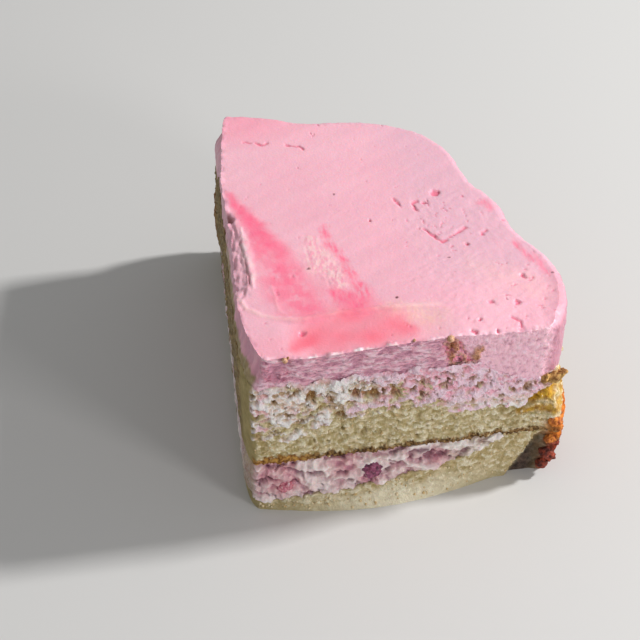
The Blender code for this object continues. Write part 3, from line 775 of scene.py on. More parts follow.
# film on the icing's lower left side: partly its own colour, partly painted shade
masks["film"] = parts["left"] * before(z, 53.0 + 1.2 * ragged(points, 3.0, 66.0), 1.6)
masks["film"] *= before(y, 74.0, 22.0)
points = points + normals * (marks + cut + dent)[:, None]
settle("icing_spread", mesh, points, masks, icingFinish(), ["icing"], 55)


# Sponge layers
sponge = {
    "across": 300,
    "deep": 150,
    "rows": 88,
    "colours": ((0.72, 0.61, 0.385), (0.45, 0.36, 0.165)),  # pale and deep crumb
    "inset": 0.6,  # the crust stands back from the icing's side
    "lump": (0.45, 4.5),  # relief, size
    "foam": (0.55, 1.9),
    "fine": (0.24, 0.75),
    "pore": (0.8, 2.4),
    "crag": (1.3, 3.2),
    "crustSwell": (3.6, 16.0, 12.0),  # the crust stands out around the middle of the side
    "openSeam": (3.6, 33.8, 2.6),
    "tear": (76.0, 0.50, 2.2),  # start, slope and depth of the torn corner
    "tucked": (2.2, 5.0),  # the crust's foot goes in: how far, over what height
    "cutDepths": (1.1, 1.0, 0.7, 0.9),  # pits, crevices, cleft, crack
    "smearThick": (0.15, 1.6, 0.26),  # layer of dragged cream, its folds, its fine relief
    "smearTop": 49.0,
    "smearFoot": (
        (0, 28), (4, 29.5), (9, 27), (13, 27.5), (16, 29.5), (20, 30.5), (24, 32.2), (30, 34),
        (43, 34.5), (55, 33.4), (67, 32), (78, 29.5), (85, 33)),
    "pinkSmears": (
        ((36.0, 47.6, 0.6), (42.2, 48.6, 1.0), (49.4, 50.6, 1.1), (56.5, 51.0, 0.9)),
        ((58.5, 36.2, 0.8), (64.5, 37.4, 1.1), (68.5, 38.6, 1.0), (73.0, 42.3, 1.0), (78.4, 43.0, 0.9),
         (84.0, 42.0, 0.7)),
        ((50.0, 38.4, 0.6), (54.5, 39.4, 0.8)),
        ((58.0, 31.5, 0.5), (65.5, 31.4, 0.7), (69.5, 32.6, 0.5)),
        ((27.0, 37.0, 0.6), (33.0, 38.0, 0.9), (38.5, 38.0, 0.8))),
    "whiteSmears": (((23.0, 47.9, 1.4), (27.0, 47.6, 1.2)), ((17.0, 47.5, 1.0), (20.0, 47.3, 1.2)),
                    ((6.0, 36.6, 1.0), (10.4, 34.8, 1.2)), ((1.6, 43.2, 1.3), (3.0, 42.6, 1.1)),
                    ((10.6, 28.2, 0.9), (13.5, 30.4, 1.1)), ((4.6, 44.8, 0.8), (6.4, 44.4, 0.8)),
                    ((19.0, 35.2, 0.9), (22.0, 34.0, 0.8)), ((29.0, 42.0, 0.7), (31.5, 40.4, 0.8))),
    "deepPits": (
        (17.0, 44.2, 1.3), (17.2, 42.9, 1.2), (34.7, 41.9, 1.2), (29.8, 43.8, 1.1), (40.9, 41.9, 1.1),
        (13.8, 34.2, 0.9), (24.2, 35.7, 0.8), (26.0, 35.6, 0.8), (6.3, 43.9, 0.7), (20.8, 43.4, 0.6),
        (45.7, 42.2, 0.9), (48.6, 44.1, 0.9), (55.4, 42.5, 0.8), (80.4, 38.2, 1.3), (76.0, 36.8, 0.9),
        (37.5, 42.6, 0.8), (32.4, 42.4, 0.7)),
    "crevices": (
        (32.3, 27.6, 0.9), (48.1, 22.6, 0.8), (1.9, 34.6, 0.9), (60.0, 24.0, 0.5), (26.0, 29.5, 0.5),
        (52.0, 28.6, 0.5)),
    "cleft": ((82.4, 31.4, 1.4), (85.8, 33.0, 2.6), (91.5, 33.2, 3.1), (100.0, 33.2, 3.1)),
    "crack": ((74.5, 26.6), (77.7, 28.0), (81.0, 30.2), (84.0, 31.6)),
    "creamBand": ((78.9, 27.4), (84.0, 28.2), (92.0, 26.0, 1.3), (100.0, 25.6, 1.5)),
    "film": (0.4, 0.9, 17.0, 9.0),  # smooth skin round the front left corner, painted darker olive, partly as painted shade: x to, fade, y to, fade
}
lowerSponge = {"across": 300, "deep": 150, "rows": 50, "colours": ((0.63, 0.51, 0.29), (0.41, 0.315, 0.135))}


def crustInset(x, y, z, rimness):
    out, level, wide = sponge["crustSwell"]
    return rimness * sponge["inset"] - out * onCrust(rimness) * bump(z - level, wide)


def upperInset(x, y, z, rimness):
    depth, level, half = sponge["openSeam"]
    return crustInset(x, y, z, rimness) + depth * rimness * bump(z - level, half)


def tornShare(x, z, rimness):  # the torn corner at the right of the front cut
    start, slope, _ = sponge["tear"]
    edge = smoothStep((x - start - slope * z) / 3.0) * smoothStep((cake["crustLevel"] - z) / 4.0 + 0.5)
    return edge * (1.0 - onCrust(rimness))


def lowerInset(x, y, z, rimness):
    tucked, height = sponge["tucked"]
    torn = sponge["tear"][2] * tornShare(x, z, rimness)
    return crustInset(x, y, z, rimness) + torn + tucked * rimness * before(z, height, height)


def crumbRelief(points, parts, seed):  # height of the crumb, its open pores (painted darker, as painted shade), its tips (painted pale, as painted highlight) and its skin (painted dark olive, partly as painted shade)
    x, y, _ = points.T
    lumpHigh, lumpSize = sponge["lump"]
    foamHigh, foamSize = sponge["foam"]
    fineHigh, fineSize = sponge["fine"]
    poreDeep, poreSize = sponge["pore"]
    cragHigh, cragSize = sponge["crag"]
    wide, fade, deepTo, deepFade = sponge["film"]
    # smooth, wet skin of the cut round the front left corner, painted dark olive, partly as painted shade
    skin = parts["left"] + parts["front"] * before(x, wide + fade, fade)
    skin = np.clip(skin * before(y, deepTo, deepFade), 0.0, 1.0)
    cut = (parts["front"] + parts["left"]) * (1.0 - 0.85 * skin)
    moved = stirred(points, 3.2, seed, 0.8)
    foam = ragged(moved, np.array((1.0, 1.0, 0.75)) * foamSize, seed + 2.0, 4)
    fine = ragged(points, fineSize, seed + 3.0)
    opened = smoothStep((0.30 - crumbDistance(moved, poreSize, seed) + 0.12 * foam) / 0.24)
    opened = opened * smoothStep(0.1 + 1.5 * grain(points, 4.0, seed + 9.0))
    relief = lumpHigh * grain(points, lumpSize, seed) + foamHigh * foam + fineHigh * fine - poreDeep * opened
    crag = cragHigh * ragged(points, cragSize, seed + 4.0, 5)
    # raised foam painted pale, as painted highlight
    light = smoothStep((foam + 0.35 * fine - 0.05) / 0.45) * (1.0 - opened)
    deep = np.maximum(0.9 * opened, 0.75 * smoothStep((-foam - 0.35 * fine - 0.12) / 0.5))
    return cut * relief + parts["rim"] * crag, deep * cut, light, skin


def crustColours(points, parts):  # browned side, orange and red-brown at the front corner
    x, y, z = points.T
    uneven = 1.2 * ragged(points, 2.6, 71.0)
    corner = parts["crust"] * before(y, 16.0, 6.0) * after(x, 60.0, 10.0)
    return {
        "crust": smoothStep((parts["crust"] + 0.25 * uneven - 0.45) / 0.3),
        "orange": corner * after(z + uneven, 14.5, 2.0) * smoothStep((24.6 - z + uneven) / 2.0),
        "redBrown": corner * before(z + uneven, 16.0, 2.0),
    }


def smearShare(points, parts):  # cream dragged down over the sponge by the knife
    x, y, z = points.T
    foot = np.interp(x, *zip(*sponge["smearFoot"]))
    reach = (z - foot) / (sponge["smearTop"] - foot)
    right = after(x, 45.0, 20.0)
    moved = stirred(points, 4.0, 61.0, 1.2)
    chaos = ragged(moved, (4.4, 4.4, 2.6), 11.0, 4)
    folds = crests(moved, (5.2, 5.2, 2.7), 71.0, 0.5)
    ridges = crests(moved, (2.6, 2.6, 1.4), 14.0, 0.55)
    fibre = ragged(moved, (0.95, 0.95, 3.4), 45.0, 3) * along(x, 42.0, 86.0, 6.0) * along(z, 34.0, 47.5, 3.0)
    field = chaos + 0.35 * folds + 0.75 * fibre + 0.75 * reach - 0.16 - 1.4 * before(z, foot + 1.2, 3.5)
    field = field + 0.6 * after(x, 42.0, 20.0)
    near = smoothStep((z + 2.6 + 1.2 * chaos - icingUnderside(x, y)) / 2.2)
    face = wobbled(points[:, ::2], points, 1.3, 2.2, (21.0, 27.0))
    pink = anyStroke(face, sponge["pinkSmears"], 1.15, 0.7)
    white = anyStroke(face, sponge["whiteSmears"], 1.15, 0.7)
    laid = np.maximum(pink, white)
    # pits: bare crumb, painted dark brown, partly painted shade
    pits = spotShare(face, [(at, up, 1.15 * size) for at, up, size in sponge["deepPits"]], 0.3)
    small = smoothStep((-ragged(moved, (2.4, 2.4, 1.7), 83.0) - 0.36) / 0.16) * after(reach, -0.1, 0.3)
    pits = np.maximum(pits, 0.85 * small * (1.0 - laid)) * (1.0 - near)
    smear = most(smoothStep(field / 0.34), laid, near) * (1.0 - pits)
    thin, high, fine = sponge["smearThick"]
    thick = thin + high * (0.50 * folds + 0.32 * ridges + 0.45 * fibre - 0.30)
    thick = (thick + fine * ragged(points, 0.9, 47.0) + 0.65 * laid) * (1.0 - 0.35 * right)
    blush = most(
        after(x, 30.0 - 9.0 * grain(points, 5.0, 33.0), 16.0) * smoothStep((z - 33.0) / 8.0 + 0.35),
        0.6 * after(grain(moved, 5.5, 29.0), 0.15, 0.5),
        near * after(x, 4.0, 30.0),
        pink) * (1.0 - white)
    shade = smoothStep((0.58 - 0.55 * folds - 0.45 * ridges) / 0.45) * smear * (1.0 - 0.8 * laid)
    shade = shade * (1.0 - 0.75 * right) * (1.0 - 0.6 * near)
    gleam = after(0.6 * folds + 0.5 * ridges + 0.4 * fibre + 0.5 * laid, 0.5, 0.3) * smear
    fibres = along(x, 44.0, 88.0, 8.0) * along(z, 35.5, 48.5, 2.5) * (1.0 - 0.9 * laid)
    fibres = fibres * smoothStep(0.40 + 1.1 * grain(moved, (5.0, 5.0, 4.0), 53.0)) * (1.0 - near)
    found = {"smear": smear, "pit": pits, "shade": shade, "gleam": gleam, "fibres": fibres}
    return {name: share * parts["front"] for name, share in found.items()}, blush, thick


def spongeFinish(name, pale, deep):
    material, tree, shader = newFinish(name, 0.85, 0.25)
    places = cakePlaces(tree)
    fine = speckle(tree, places, 0.5, 4.0)
    crumb = mottled(tree, cakePlaces(tree, (0.8, 0.8, 1.2)), 1.6, deep, pale, 5.0, 0.38, 0.62)
    # painted highlight: the raised tips of the crumb are painted pale
    tips = combined(tree, maskOf(tree, "light"), spread(tree, fine, 0.35, 1.0))
    browned = mottled(tree, places, 1.8, (0.20, 0.085, 0.03), (0.55, 0.30, 0.11))
    patches = combined(tree, speckle(tree, places, 9.0, 2.0, 0.42, 0.62), 0.5)
    white = mottled(tree, places, 2.0, (0.90, 0.66, 0.56), (1.0, 0.95, 0.93), 5.0, 0.40, 0.60)
    pink = mottled(tree, places, 2.6, (1.0, 0.49, 0.62), (1.0, 0.77, 0.90), 5.0, 0.40, 0.58)
    blush = maskOf(tree, "blush")
    cream = coats(
        tree, tint(tree, blush, white, pink),
        ("shade", 0.8, tint(tree, blush, (0.38, 0.25, 0.10), (0.78, 0.38, 0.38))),
        ("gleam", 0.85, tint(tree, blush, (1.0, 0.98, 0.97), (1.0, 0.76, 0.87))))
    upright = speckle(tree, cakePlaces(tree, (1.0, 1.0, 0.36)), 1.1, 4.0, 0.50, 0.60)
    bare = combined(tree, combined(tree, maskOf(tree, "fibres"), upright), 0.75)
    cream = tint(tree, bare, cream, tint(tree, fine, (0.36, 0.17, 0.10), (0.64, 0.38, 0.26)))
    pit = mottled(tree, places, 1.2, (0.20, 0.09, 0.03), (0.58, 0.33, 0.13))
    crustLine = mottled(tree, places, 0.9, (0.08, 0.036, 0.012), (0.38, 0.23, 0.09), 4.0, 0.40, 0.62)
    colour = coats(
        tree, tint(tree, tips, crumb, (0.97, 0.91, 0.72)),
        # painted shade: darker brown in the pores, crevices and cracks
        ("deep", 0.8, (0.36, 0.26, 0.10)),
        # painted shade: the left cut is painted dark brown, as the shade it stands in
        ("leftSide", 0.8, mottled(tree, places, 2.2, (0.12, 0.07, 0.03), (0.38, 0.26, 0.115), 4.0)),
        # smooth skin painted dark olive: partly its own colour, partly painted shade
        ("skin", 1.0, mottled(tree, places, 3.0, (0.37, 0.29, 0.12), (0.50, 0.40, 0.18))),
        # painted light on the swollen foot of the front cut
        ("bright", 1.0, (0.97, 0.91, 0.72)),
        ("crust", 1.0, tint(tree, patches, browned, (0.17, 0.07, 0.03))),
        ("orange", 1.0, mottled(tree, places, 1.6, (0.32, 0.06, 0.008), (0.88, 0.28, 0.035))),
        ("redBrown", 1.0, mottled(tree, places, 1.6, (0.06, 0.01, 0.008), (0.42, 0.06, 0.026))),
        # near-black paint on the torn corner at the right of the front foot
        ("burnt", 1.0, mottled(tree, places, 2.0, (0.035, 0.022, 0.018), (0.12, 0.08, 0.06))),
        ("crustLine", 1.0, crustLine),
        ("toasted", 1.0, mottled(tree, places, 0.9, (0.22, 0.08, 0.02), (0.62, 0.34, 0.08), 4.0)),
        ("gold", 1.0, mottled(tree, places, 1.6, (0.32, 0.145, 0.008), (0.62, 0.36, 0.035))),
        ("smear", 1.0, cream),
        # pits in the smear: bare crumb shows brown, painted darker as painted shade in the pits
        ("pit", 1.0, coats(tree, pit, ("blush", 0.55, (0.50, 0.26, 0.24)))))
    roughness = spread(tree, maskOf(tree, "wet"), 0.88, 0.17)
    finishWith(tree, shader, colour, roughness, [(fine, 0.14)], (0.06, 1.0))
    return material


def allMasks(points, **given):  # every mask that the sponge's finish reads
    names = ("light", "deep", "skin", "bright", "crust", "orange", "redBrown", "burnt", "crustLine", "gold",
             "pit", "blush", "shade", "smear", "gleam", "fibres", "wet", "leftSide", "toasted")
    return {name: given.get(name, np.zeros(len(points))) for name in names}


mesh, points, normals, parts = layerForm(
    "upper_crumb", sponge, lambda x, y: np.full_like(x, cake["crustLevel"]),
    lambda x, y: icingUnderside(x, y) - cake["seam"], upperInset)
x, y, z = points.T
relief, deep, light, skin = crumbRelief(points, parts, 30.0)
dragged, blush, thick = smearShare(points, parts)
face = wobbled(points[:, ::2], points, 0.5, 1.6, (2.0, 8.0))
crevice = spotShare(face, sponge["crevices"]) * parts["front"]
crack = strokeShare(face, sponge["crack"], 0.5, 0.6) * parts["front"]
nearFront = before(y, 25.0 + 3.0 * grain(points, 4.0, 49.0), 9.0)
paleEnd = nearFront * smoothStep((z - 22.6 + 1.2 * grain(points, 2.4, 39.0)) / 1.6)
cleft = strokeShare(face, sponge["cleft"], 1.0, 0.5) * parts["side"] * nearFront
band = strokeShare(face, sponge["creamBand"], 1.3, 0.6) * parts["side"] * nearFront
smear, pit = dragged["smear"] * (1.0 - cleft), dragged["pit"]
leftEnd = before(x, 20.0, 8.0)
lineTop = 20.7 + 0.8 * grain(points, 3.0, 9.0) + 0.9 * ragged(points, 1.0, 19.0) + 0.8 * leftEnd
crustLine = before(z, lineTop, 0.6) * parts["front"]
relief = relief * (1.0 - 0.75 * smear) + smear * thick
for depth, mark in zip(sponge["cutDepths"], (pit, crevice, cleft, crack)):
    relief = relief - depth * mark
relief = relief + (0.25 + 0.3 * ragged(points, 0.9, 77.0)) * crustLine
relief = relief + 0.5 * parts["left"] * after(y, 40.0, 15.0) * ragged(points, 1.8, 87.0, 4)
side = crustColours(points, parts)
sideShows = (1.0 - band) * (1.0 - paleEnd)
dragged["smear"] = smear * (1.0 - crustLine)
masks = allMasks(
    # deep carries painted shade in pores, crevices and cracks; light carries painted highlight on the raised
    # tips
    points, light=light, deep=most(deep, crevice, crack) * (1.0 - smear), blush=blush,
    skin=skin * (1.0 - smear), crustLine=crustLine, gold=np.maximum(cleft, 0.85 * band),
    toasted=0.85 * crustLine * leftEnd, crust=side["crust"] * sideShows * (1.0 - cleft),
    orange=side["orange"] * sideShows, redBrown=side["redBrown"], wet=np.maximum(smear, 0.25 * skin),
    leftSide=parts["left"], **dragged)
points = points + normals * relief[:, None]
finish = spongeFinish("upperCrumb", *sponge["colours"])
settle("upper_crumb", mesh, points, masks, finish, ["upper_sponge"], 70)
upperFront = {"points": points, "parts": parts, "masks": masks}


# Filling
filling = {
    "across": 260,
    "deep": 130,
    "rows": 42,
    "thick": 15.0,
    "fall": 0.13,  # thickness lost for each unit to the right
    "stop": 13.5,  # from the rim
    "taper": 1.7,
    "edge": 0.7,
    "recess": (0.9, 16.8, 1.6),  # set back under the crust: depth, level, blend
    "folds": (1.25, (5.4, 5.4, 3.2)),  # relief, size
    "crests": (0.85, (3.4, 3.4, 2.0)),
    "fine": (0.16, 1.0),
    "creaseDeep": 0.8,
    "roseSpots": ((26.9, 15.6, 3.6), (8.0, 11.0, 4.6), (4.0, 14.0, 3.4), (9.5, 15.0, 3.0), (34.0, 9.5, 3.0),
                  (55.0, 13.0, 2.6)),
    "whiteSpots": (
        (14.8, 16.8, 2.2), (28.4, 9.6, 2.2), (20.0, 8.6, 3.0), (37.6, 12.6, 2.0), (60.0, 17.0, 2.2),
        (17.0, 12.5, 2.2), (5.5, 5.0, 2.0), (12.0, 6.0, 2.0), (42.0, 15.5, 2.0)),
    "creases": (
        ((10.4, 16.0, 0.5), (12.4, 14.6, 1.1), (13.6, 13.2, 0.5)),
        ((15.6, 14.6, 0.6), (18.6, 13.8, 0.8)), ((2.0, 12.0, 0.4), (3.6, 13.4, 0.7), (5.0, 12.6, 0.5)),
        ((24.0, 12.0, 0.4), (27.0, 12.8, 0.6)), ((47.0, 15.4, 0.5), (51.0, 16.2, 0.7)),
        ((40.0, 14.6, 0.4), (43.5, 13.6, 0.6))),
}


def fillingTop(x, y):
    return np.full_like(x, cake["crustLevel"] - cake["seam"])


def fillingBottom(x, y):
    body = filling["thick"] - filling["fall"] * x
    tip = np.clip((rimDistance(x, y) - filling["stop"]) / (filling["taper"] * body), 0.0, 1.0)
    thickness = filling["edge"] + (body - filling["edge"]) * np.sin(0.5 * math.pi * tip)
    uneven = 0.6 * ragged(onPlate(x, y), 3.0, 17.0)
    return fillingTop(x, y) - thickness + uneven * smoothStep(tip / 0.3)


def underFilling(x, y):  # top of the lower sponge, in which the filling lies
    covered = after(rimDistance(x, y), filling["stop"], 0.6)
    level = fillingTop(x, y)
    return level + (fillingBottom(x, y) - cake["seam"] - level) * covered


def fillingInset(x, y, z, rimness):
    depth, level, blendOver = filling["recess"]
    return rimness * filling["stop"] + (1.0 - rimness) * depth * after(z, level, blendOver)


def fillingFinish():
    material, tree, shader = newFinish("fruitCream", 0.30)
    places = cakePlaces(tree)
    hollow = tint(tree, maskOf(tree, "dull"), (0.48, 0.22, 0.29), (0.52, 0.37, 0.34))
    colour = coats(
        tree, mottled(tree, places, 2.2, (0.64, 0.36, 0.39), (0.84, 0.63, 0.62), 4.0),
        ("dull", 1.0, mottled(tree, places, 1.6, (0.48, 0.37, 0.30), (0.74, 0.65, 0.55))),
        ("rose", 1.0, mottled(tree, places, 1.8, (0.56, 0.20, 0.27), (0.86, 0.50, 0.52), 4.0)),
        # painted shade: darker mauve in the hollows between the folds
        ("hollow", 0.5, hollow),
        # white: partly the cream's own colour, partly painted highlight on raised folds
        ("white", 0.85, (1.0, 0.91, 0.90)),
        # dark purple in the creases: partly the filling's own colour, partly painted shade
        ("crease", 0.8, (0.22, 0.08, 0.12)),
        # painted shade: the filling's left side near the front is painted olive-mauve
        ("film", 1.0, mottled(tree, places, 2.6, (0.38, 0.26, 0.18), (0.54, 0.42, 0.28), 4.0)))
    roughness = spread(tree, speckle(tree, places, 1.5), 0.12, 0.34)
    finishWith(tree, shader, colour, roughness, [(speckle(tree, places, 0.6), 0.08)], (0.12, 1.5))
    return material


mesh, points, normals, parts = layerForm("fruit_cream", filling, fillingBottom, fillingTop, fillingInset)
x, y, z = points.T
cut = parts["front"] + 0.5 * parts["left"]
moved = stirred(points, 5.0, 1.0, 1.6)
face = moved[:, ::2]
folds = ragged(moved, filling["folds"][1], 23.0, 4)
crest = crests(moved, filling["crests"][1], 29.0, 0.6)
fine = ragged(points, filling["fine"][1], 2.0)
drawn = anyStroke(face, filling["creases"], 0.9, 0.8)
# creases: partly the filling's own dark purple, partly painted shade
crease = np.maximum(drawn, 0.75 * smoothStep((-folds - 0.34) / 0.2))
rose = spotShare(face, filling["roseSpots"], 0.7)
# white cream spots, and white on the raised folds and crests: partly the cream's own colour, partly painted
# highlight
white = np.maximum(0.8 * spotShare(face, filling["whiteSpots"], 0.7), smoothStep(1.1 * folds + 0.6 * crest))
white = white * (1.0 - 0.8 * rose)
dull = smoothStep((x - 50.0 + 5.0 * folds) / 14.0)
relief = filling["folds"][0] * folds + filling["crests"][0] * (crest - 0.4)
relief = relief * (1.0 - 0.4 * dull) + filling["fine"][0] * (1.0 + 0.8 * dull) * fine
relief = relief - filling["creaseDeep"] * crease
# painted shade in the hollows between the folds
hollow = smoothStep((0.12 - folds - 0.35 * crest) / 0.35)
# painted shade on the filling's left side near the front
film = parts["left"] * before(y, 17.0, 9.0) * (0.75 + 0.25 * ragged(points, 2.0, 5.0))
masks = {"crease": crease * cut, "white": white, "rose": rose, "dull": dull, "hollow": hollow * cut,
         "film": film}
points = points + normals * (cut * relief)[:, None]
settle("fruit_cream", mesh, points, masks, fillingFinish(), ["filling"], 70)

mesh, points, normals, parts = layerForm(
    "lower_crumb", lowerSponge, lambda x, y: np.zeros_like(x), underFilling, lowerInset)
x, y, z = points.T
relief, deep, light, skin = crumbRelief(points, parts, 50.0)
pressed = before(z, 3.4 + 0.8 * grain(points, 6.0, 3.0), 2.2)  # squeezed on the plate
pressed = pressed * (parts["front"] + parts["left"])
torn = tornShare(x, z, parts["rim"]) * (1.0 - after(y, 12.0, 6.0)) * parts["side"]
# painted light: the swollen foot bulging out at the front is painted paler, as the light falling on it
swollen = parts["front"] * bump(x - 42.0, 24.0) * before(z, 9.0 + 2.0 * grain(points, 5.0, 8.0), 6.0)
relief = relief * (1.0 - 0.8 * pressed) * (1.0 - 0.3 * torn) * 0.7
# the squeezed foot takes the same dark skin colour, partly painted shade
skin = np.maximum(skin, 0.8 * pressed)
masks = allMasks(
    points, light=0.8 * light, deep=0.65 * deep * (1.0 - 0.7 * pressed), skin=skin * (1.0 - 0.8 * swollen),
    bright=0.7 * swollen, burnt=torn, wet=0.6 * np.maximum(skin, 0.5 * swollen), leftSide=parts["left"],
    **crustColours(points, parts))
points = points + normals * relief[:, None]
points[:, 2] = np.maximum(points[:, 2], 0.0)
finish = spongeFinish("lowerCrumb", *lowerSponge["colours"])
settle("lower_crumb", mesh, points, masks, finish, ["lower_sponge"], 70)
lowerFront = {"points": points, "parts": parts, "masks": masks}


# Berries
berries = {
    "dark_fruit": {"node": "berry_dark", "centre": (34.5, -1.0, 12.4), "radius": 3.4, "seed": 7.0,
                   "colours": ((0.10, 0.015, 0.05), (0.38, 0.09, 0.19)), "cream": (0.56, 0.72)},
    "red_fruit": {"node": "berry_red", "centre": (8.8, -0.2, 9.2), "radius": 2.7, "seed": 11.0,
                  "colours": ((0.48, 0.09, 0.15), (0.74, 0.30, 0.36)), "cream": (0.50, 0.66)},
}
berryShape = {
    "squash": (1.0, 0.80, 0.92),
    "swells": ((0.08, 0.6), (0.14, 0.28)),  # height and size of each, in shares of the radius
}


def berryFinish(name, dark, light, creamFrom, creamTo):
    material, tree, shader = newFinish(name, 0.25, 0.5)
    places = cakePlaces(tree)
    cream = speckle(tree, cakePlaces(tree, (1.0, 1.0, 0.45)), 1.7, 4.0, creamFrom, creamTo)
    colour = tint(tree, cream, mottled(tree, places, 1.2, dark, light), (0.86, 0.62, 0.66))
    reliefs = ((speckle(tree, places, 0.7), 0.15), (cream, 0.25))
    finishWith(tree, shader, colour, None, reliefs, (0.15, 1.0))
    return material


for name, fruit in berries.items():
    bm = bmesh.new()
    bmesh.ops.create_icosphere(bm, subdivisions=5, radius=fruit["radius"])
    mesh = meshFrom(name, bm)
    ball = readPoints(mesh.vertices, "co")
    unit = ball / fruit["radius"]
    swell = 1.0 + sum(high * grain(unit, size, fruit["seed"]) for high, size in berryShape["swells"])
    points = ball * swell[:, None] * np.array(berryShape["squash"]) + np.array(fruit["centre"])
    finish = berryFinish(name, *fruit["colours"], *fruit["cream"])
    settle(name, mesh, points, {}, finish, [fruit["node"]])


# Loose bits. A tone is the mask that it shows in, the size of its patches, and its dark and light colour.
bits = {
    "crumbs": {
        "count": 260,
        "sizes": (0.22, 0.55),
        "rough": (0.16, 0.5),  # unevenness: height, size
        "seed": 5,
        "above": (18.6, 1.0),  # lowest crumb on the upper and on the lower sponge
        "tanFrom": (55.0, 2.0),
        "tones": ((None, 1.5, (0.62, 0.44, 0.20), (0.90, 0.78, 0.54)),
                  ("high", 0.9, (0.46, 0.22, 0.11), (0.84, 0.52, 0.35))),
    },
    "edgeCrumbs": (
        (9.6, 0.2, 58.9, 0.9), (45.9, 0.6, 60.4, 0.8), (56.0, -0.3, 60.3, 1.1), (10.6, 0.8, 59.2, 0.5)),
    "flecks": {
        "count": 130,
        "sizes": (0.25, 0.65),
        "rough": (0.08, 0.6),
        "seed": 8,
        "blushFrom": (30.0, 14.0),
        "tones": ((None, 2.0, (0.90, 0.80, 0.79), (0.97, 0.93, 0.92)),
                  ("blush", 2.0, (0.92, 0.52, 0.64), (0.96, 0.72, 0.79))),
    },
    "flakes": {
        "rough": (0.75, 1.5),
        "redBrownTo": (16.0, 1.5),
        "goldenFrom": (34.0, 2.0),
        "tones": ((None, 1.3, (0.32, 0.065, 0.01), (0.84, 0.28, 0.04)),
                  ("low", 1.3, (0.08, 0.013, 0.01), (0.42, 0.065, 0.028)),
                  ("high", 1.3, (0.30, 0.13, 0.03), (0.72, 0.44, 0.14))),
        "places": (  # place, radii and tilt of each crag and flake of crust
            ((88.4, 0.6, 39.2), (3.4, 1.5, 1.15), -20), ((90.9, 1.4, 40.2), (1.3, 1.1, 0.9), 10),
            ((85.4, 0.2, 39.6), (1.0, 0.9, 1.2), 0), ((90.6, 0.3, 20.6), (2.0, 1.9, 2.1), 0),
            ((91.6, 1.4, 17.8), (1.7, 1.6, 1.6), 20), ((89.2, -0.9, 22.4), (1.5, 1.3, 1.3), 0),
            ((88.8, -1.2, 15.2), (1.9, 1.7, 1.9), 10), ((90.4, 0.2, 12.6), (1.9, 1.7, 2.0), 0),
            ((88.4, -0.9, 9.2), (2.0, 1.7, 2.0), 0), ((90.0, 0.3, 6.2), (1.8, 1.6, 1.9), 0),
            ((87.6, -0.6, 4.2), (1.7, 1.4, 1.7), 0)),
    },
}


def lumps(settings, places, sizes):  # small uneven lumps, joined in one mesh
    pick = np.random.default_rng(settings["seed"])
    bm = bmesh.new()
    for place, size in zip(places, sizes):
        turn = Euler(pick.uniform(0.0, 6.28, 3)).to_matrix().to_4x4()
        stretch = Matrix.Diagonal((*(size * pick.uniform(0.55, 1.25, 3)), 1.0))
        shape = Matrix.Translation(place) @ turn @ stretch
        bmesh.ops.create_icosphere(bm, subdivisions=1, radius=1.0, matrix=shape)
    return bm


def bitPiece(name, bm, settings, masks, finish):
    mesh = meshFrom(name, bm)
    places = readPoints(mesh.vertices, "co")
    high, size = settings["rough"]
    uneven = high * ragged(places, size, 3.0, 4)
    places = places + readPoints(mesh.vertex_normals, "vector") * uneven[:, None]
    settle(name, mesh, places, {mask: make(places) for mask, make in masks.items()}, finish)


def bitFinish(name, settings, roughness, specular, relief, soft=None):
    material, tree, shader = newFinish(name, roughness, specular)
    places = cakePlaces(tree)
    (_, *base), *others = settings["tones"]
    layers = [(mask, 1.0, mottled(tree, places, *tone)) for mask, *tone in others]
    size, depth = relief
    reliefs = [(speckle(tree, places, size), depth)]
    finishWith(tree, shader, coats(tree, mottled(tree, places, *base), *layers), None, reliefs, soft)
    return material


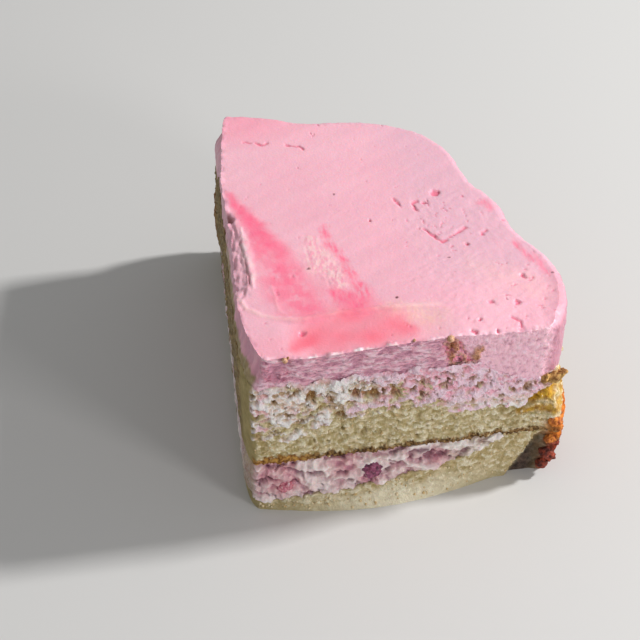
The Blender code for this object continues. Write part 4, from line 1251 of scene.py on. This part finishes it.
crumbs = bits["crumbs"]
pick = np.random.default_rng(crumbs["seed"])
spots = []
for found, low in zip((upperFront, lowerFront), crumbs["above"]):
    masks = found["masks"]
    bare = (found["parts"]["front"] > 0.8) & (masks["smear"] < 0.3) & (masks["burnt"] < 0.05)
    bare &= found["points"][:, 2] > low
    spots.append(pick.choice(found["points"][bare], crumbs["count"] // 2, replace=False))
crumbPlaces = np.vstack(spots)
crumbSizes = pick.uniform(*crumbs["sizes"], len(crumbPlaces))
bm = lumps(crumbs, [*crumbPlaces, *(crumb[:3] for crumb in bits["edgeCrumbs"])],
           [*crumbSizes, *(crumb[3] for crumb in bits["edgeCrumbs"])])
bitPiece("loose_crumbs", bm, crumbs, {"high": lambda at: after(at[:, 2], *crumbs["tanFrom"])},
         bitFinish("looseCrumb", crumbs, 0.85, 0.25, (0.4, 0.1)))

flecks = bits["flecks"]
pick = np.random.default_rng(flecks["seed"])
creamy = (upperFront["parts"]["front"] > 0.8) & (upperFront["masks"]["smear"] > 0.8)
fleckPlaces = pick.choice(upperFront["points"][creamy], flecks["count"], replace=False)
bm = lumps(flecks, fleckPlaces, pick.uniform(*flecks["sizes"], len(fleckPlaces)))
bitPiece("cream_flecks", bm, flecks, {"blush": lambda at: after(at[:, 0], *flecks["blushFrom"])},
         bitFinish("creamFleck", flecks, 0.18, 0.5, (0.5, 0.05), (0.1, 0.8)))

flakes = bits["flakes"]
bm = bmesh.new()
for place, radii, tilt in flakes["places"]:
    turn = Matrix.Rotation(math.radians(tilt), 4, "Y")
    shape = Matrix.Translation(place) @ turn @ Matrix.Diagonal((*radii, 1.0))
    bmesh.ops.create_icosphere(bm, subdivisions=4, radius=1.0, matrix=shape)
lowTo, lowOver = flakes["redBrownTo"]
flakeMasks = {"low": lambda at: before(at[:, 2], lowTo + 1.5 * ragged(at, 2.0, 3.0), lowOver),
              "high": lambda at: after(at[:, 2], *flakes["goldenFrom"])}
finish = bitFinish("crustFlake", flakes, 0.6, 0.4, (0.6, 0.25))
bitPiece("crust_flakes", bm, flakes, flakeMasks, finish)
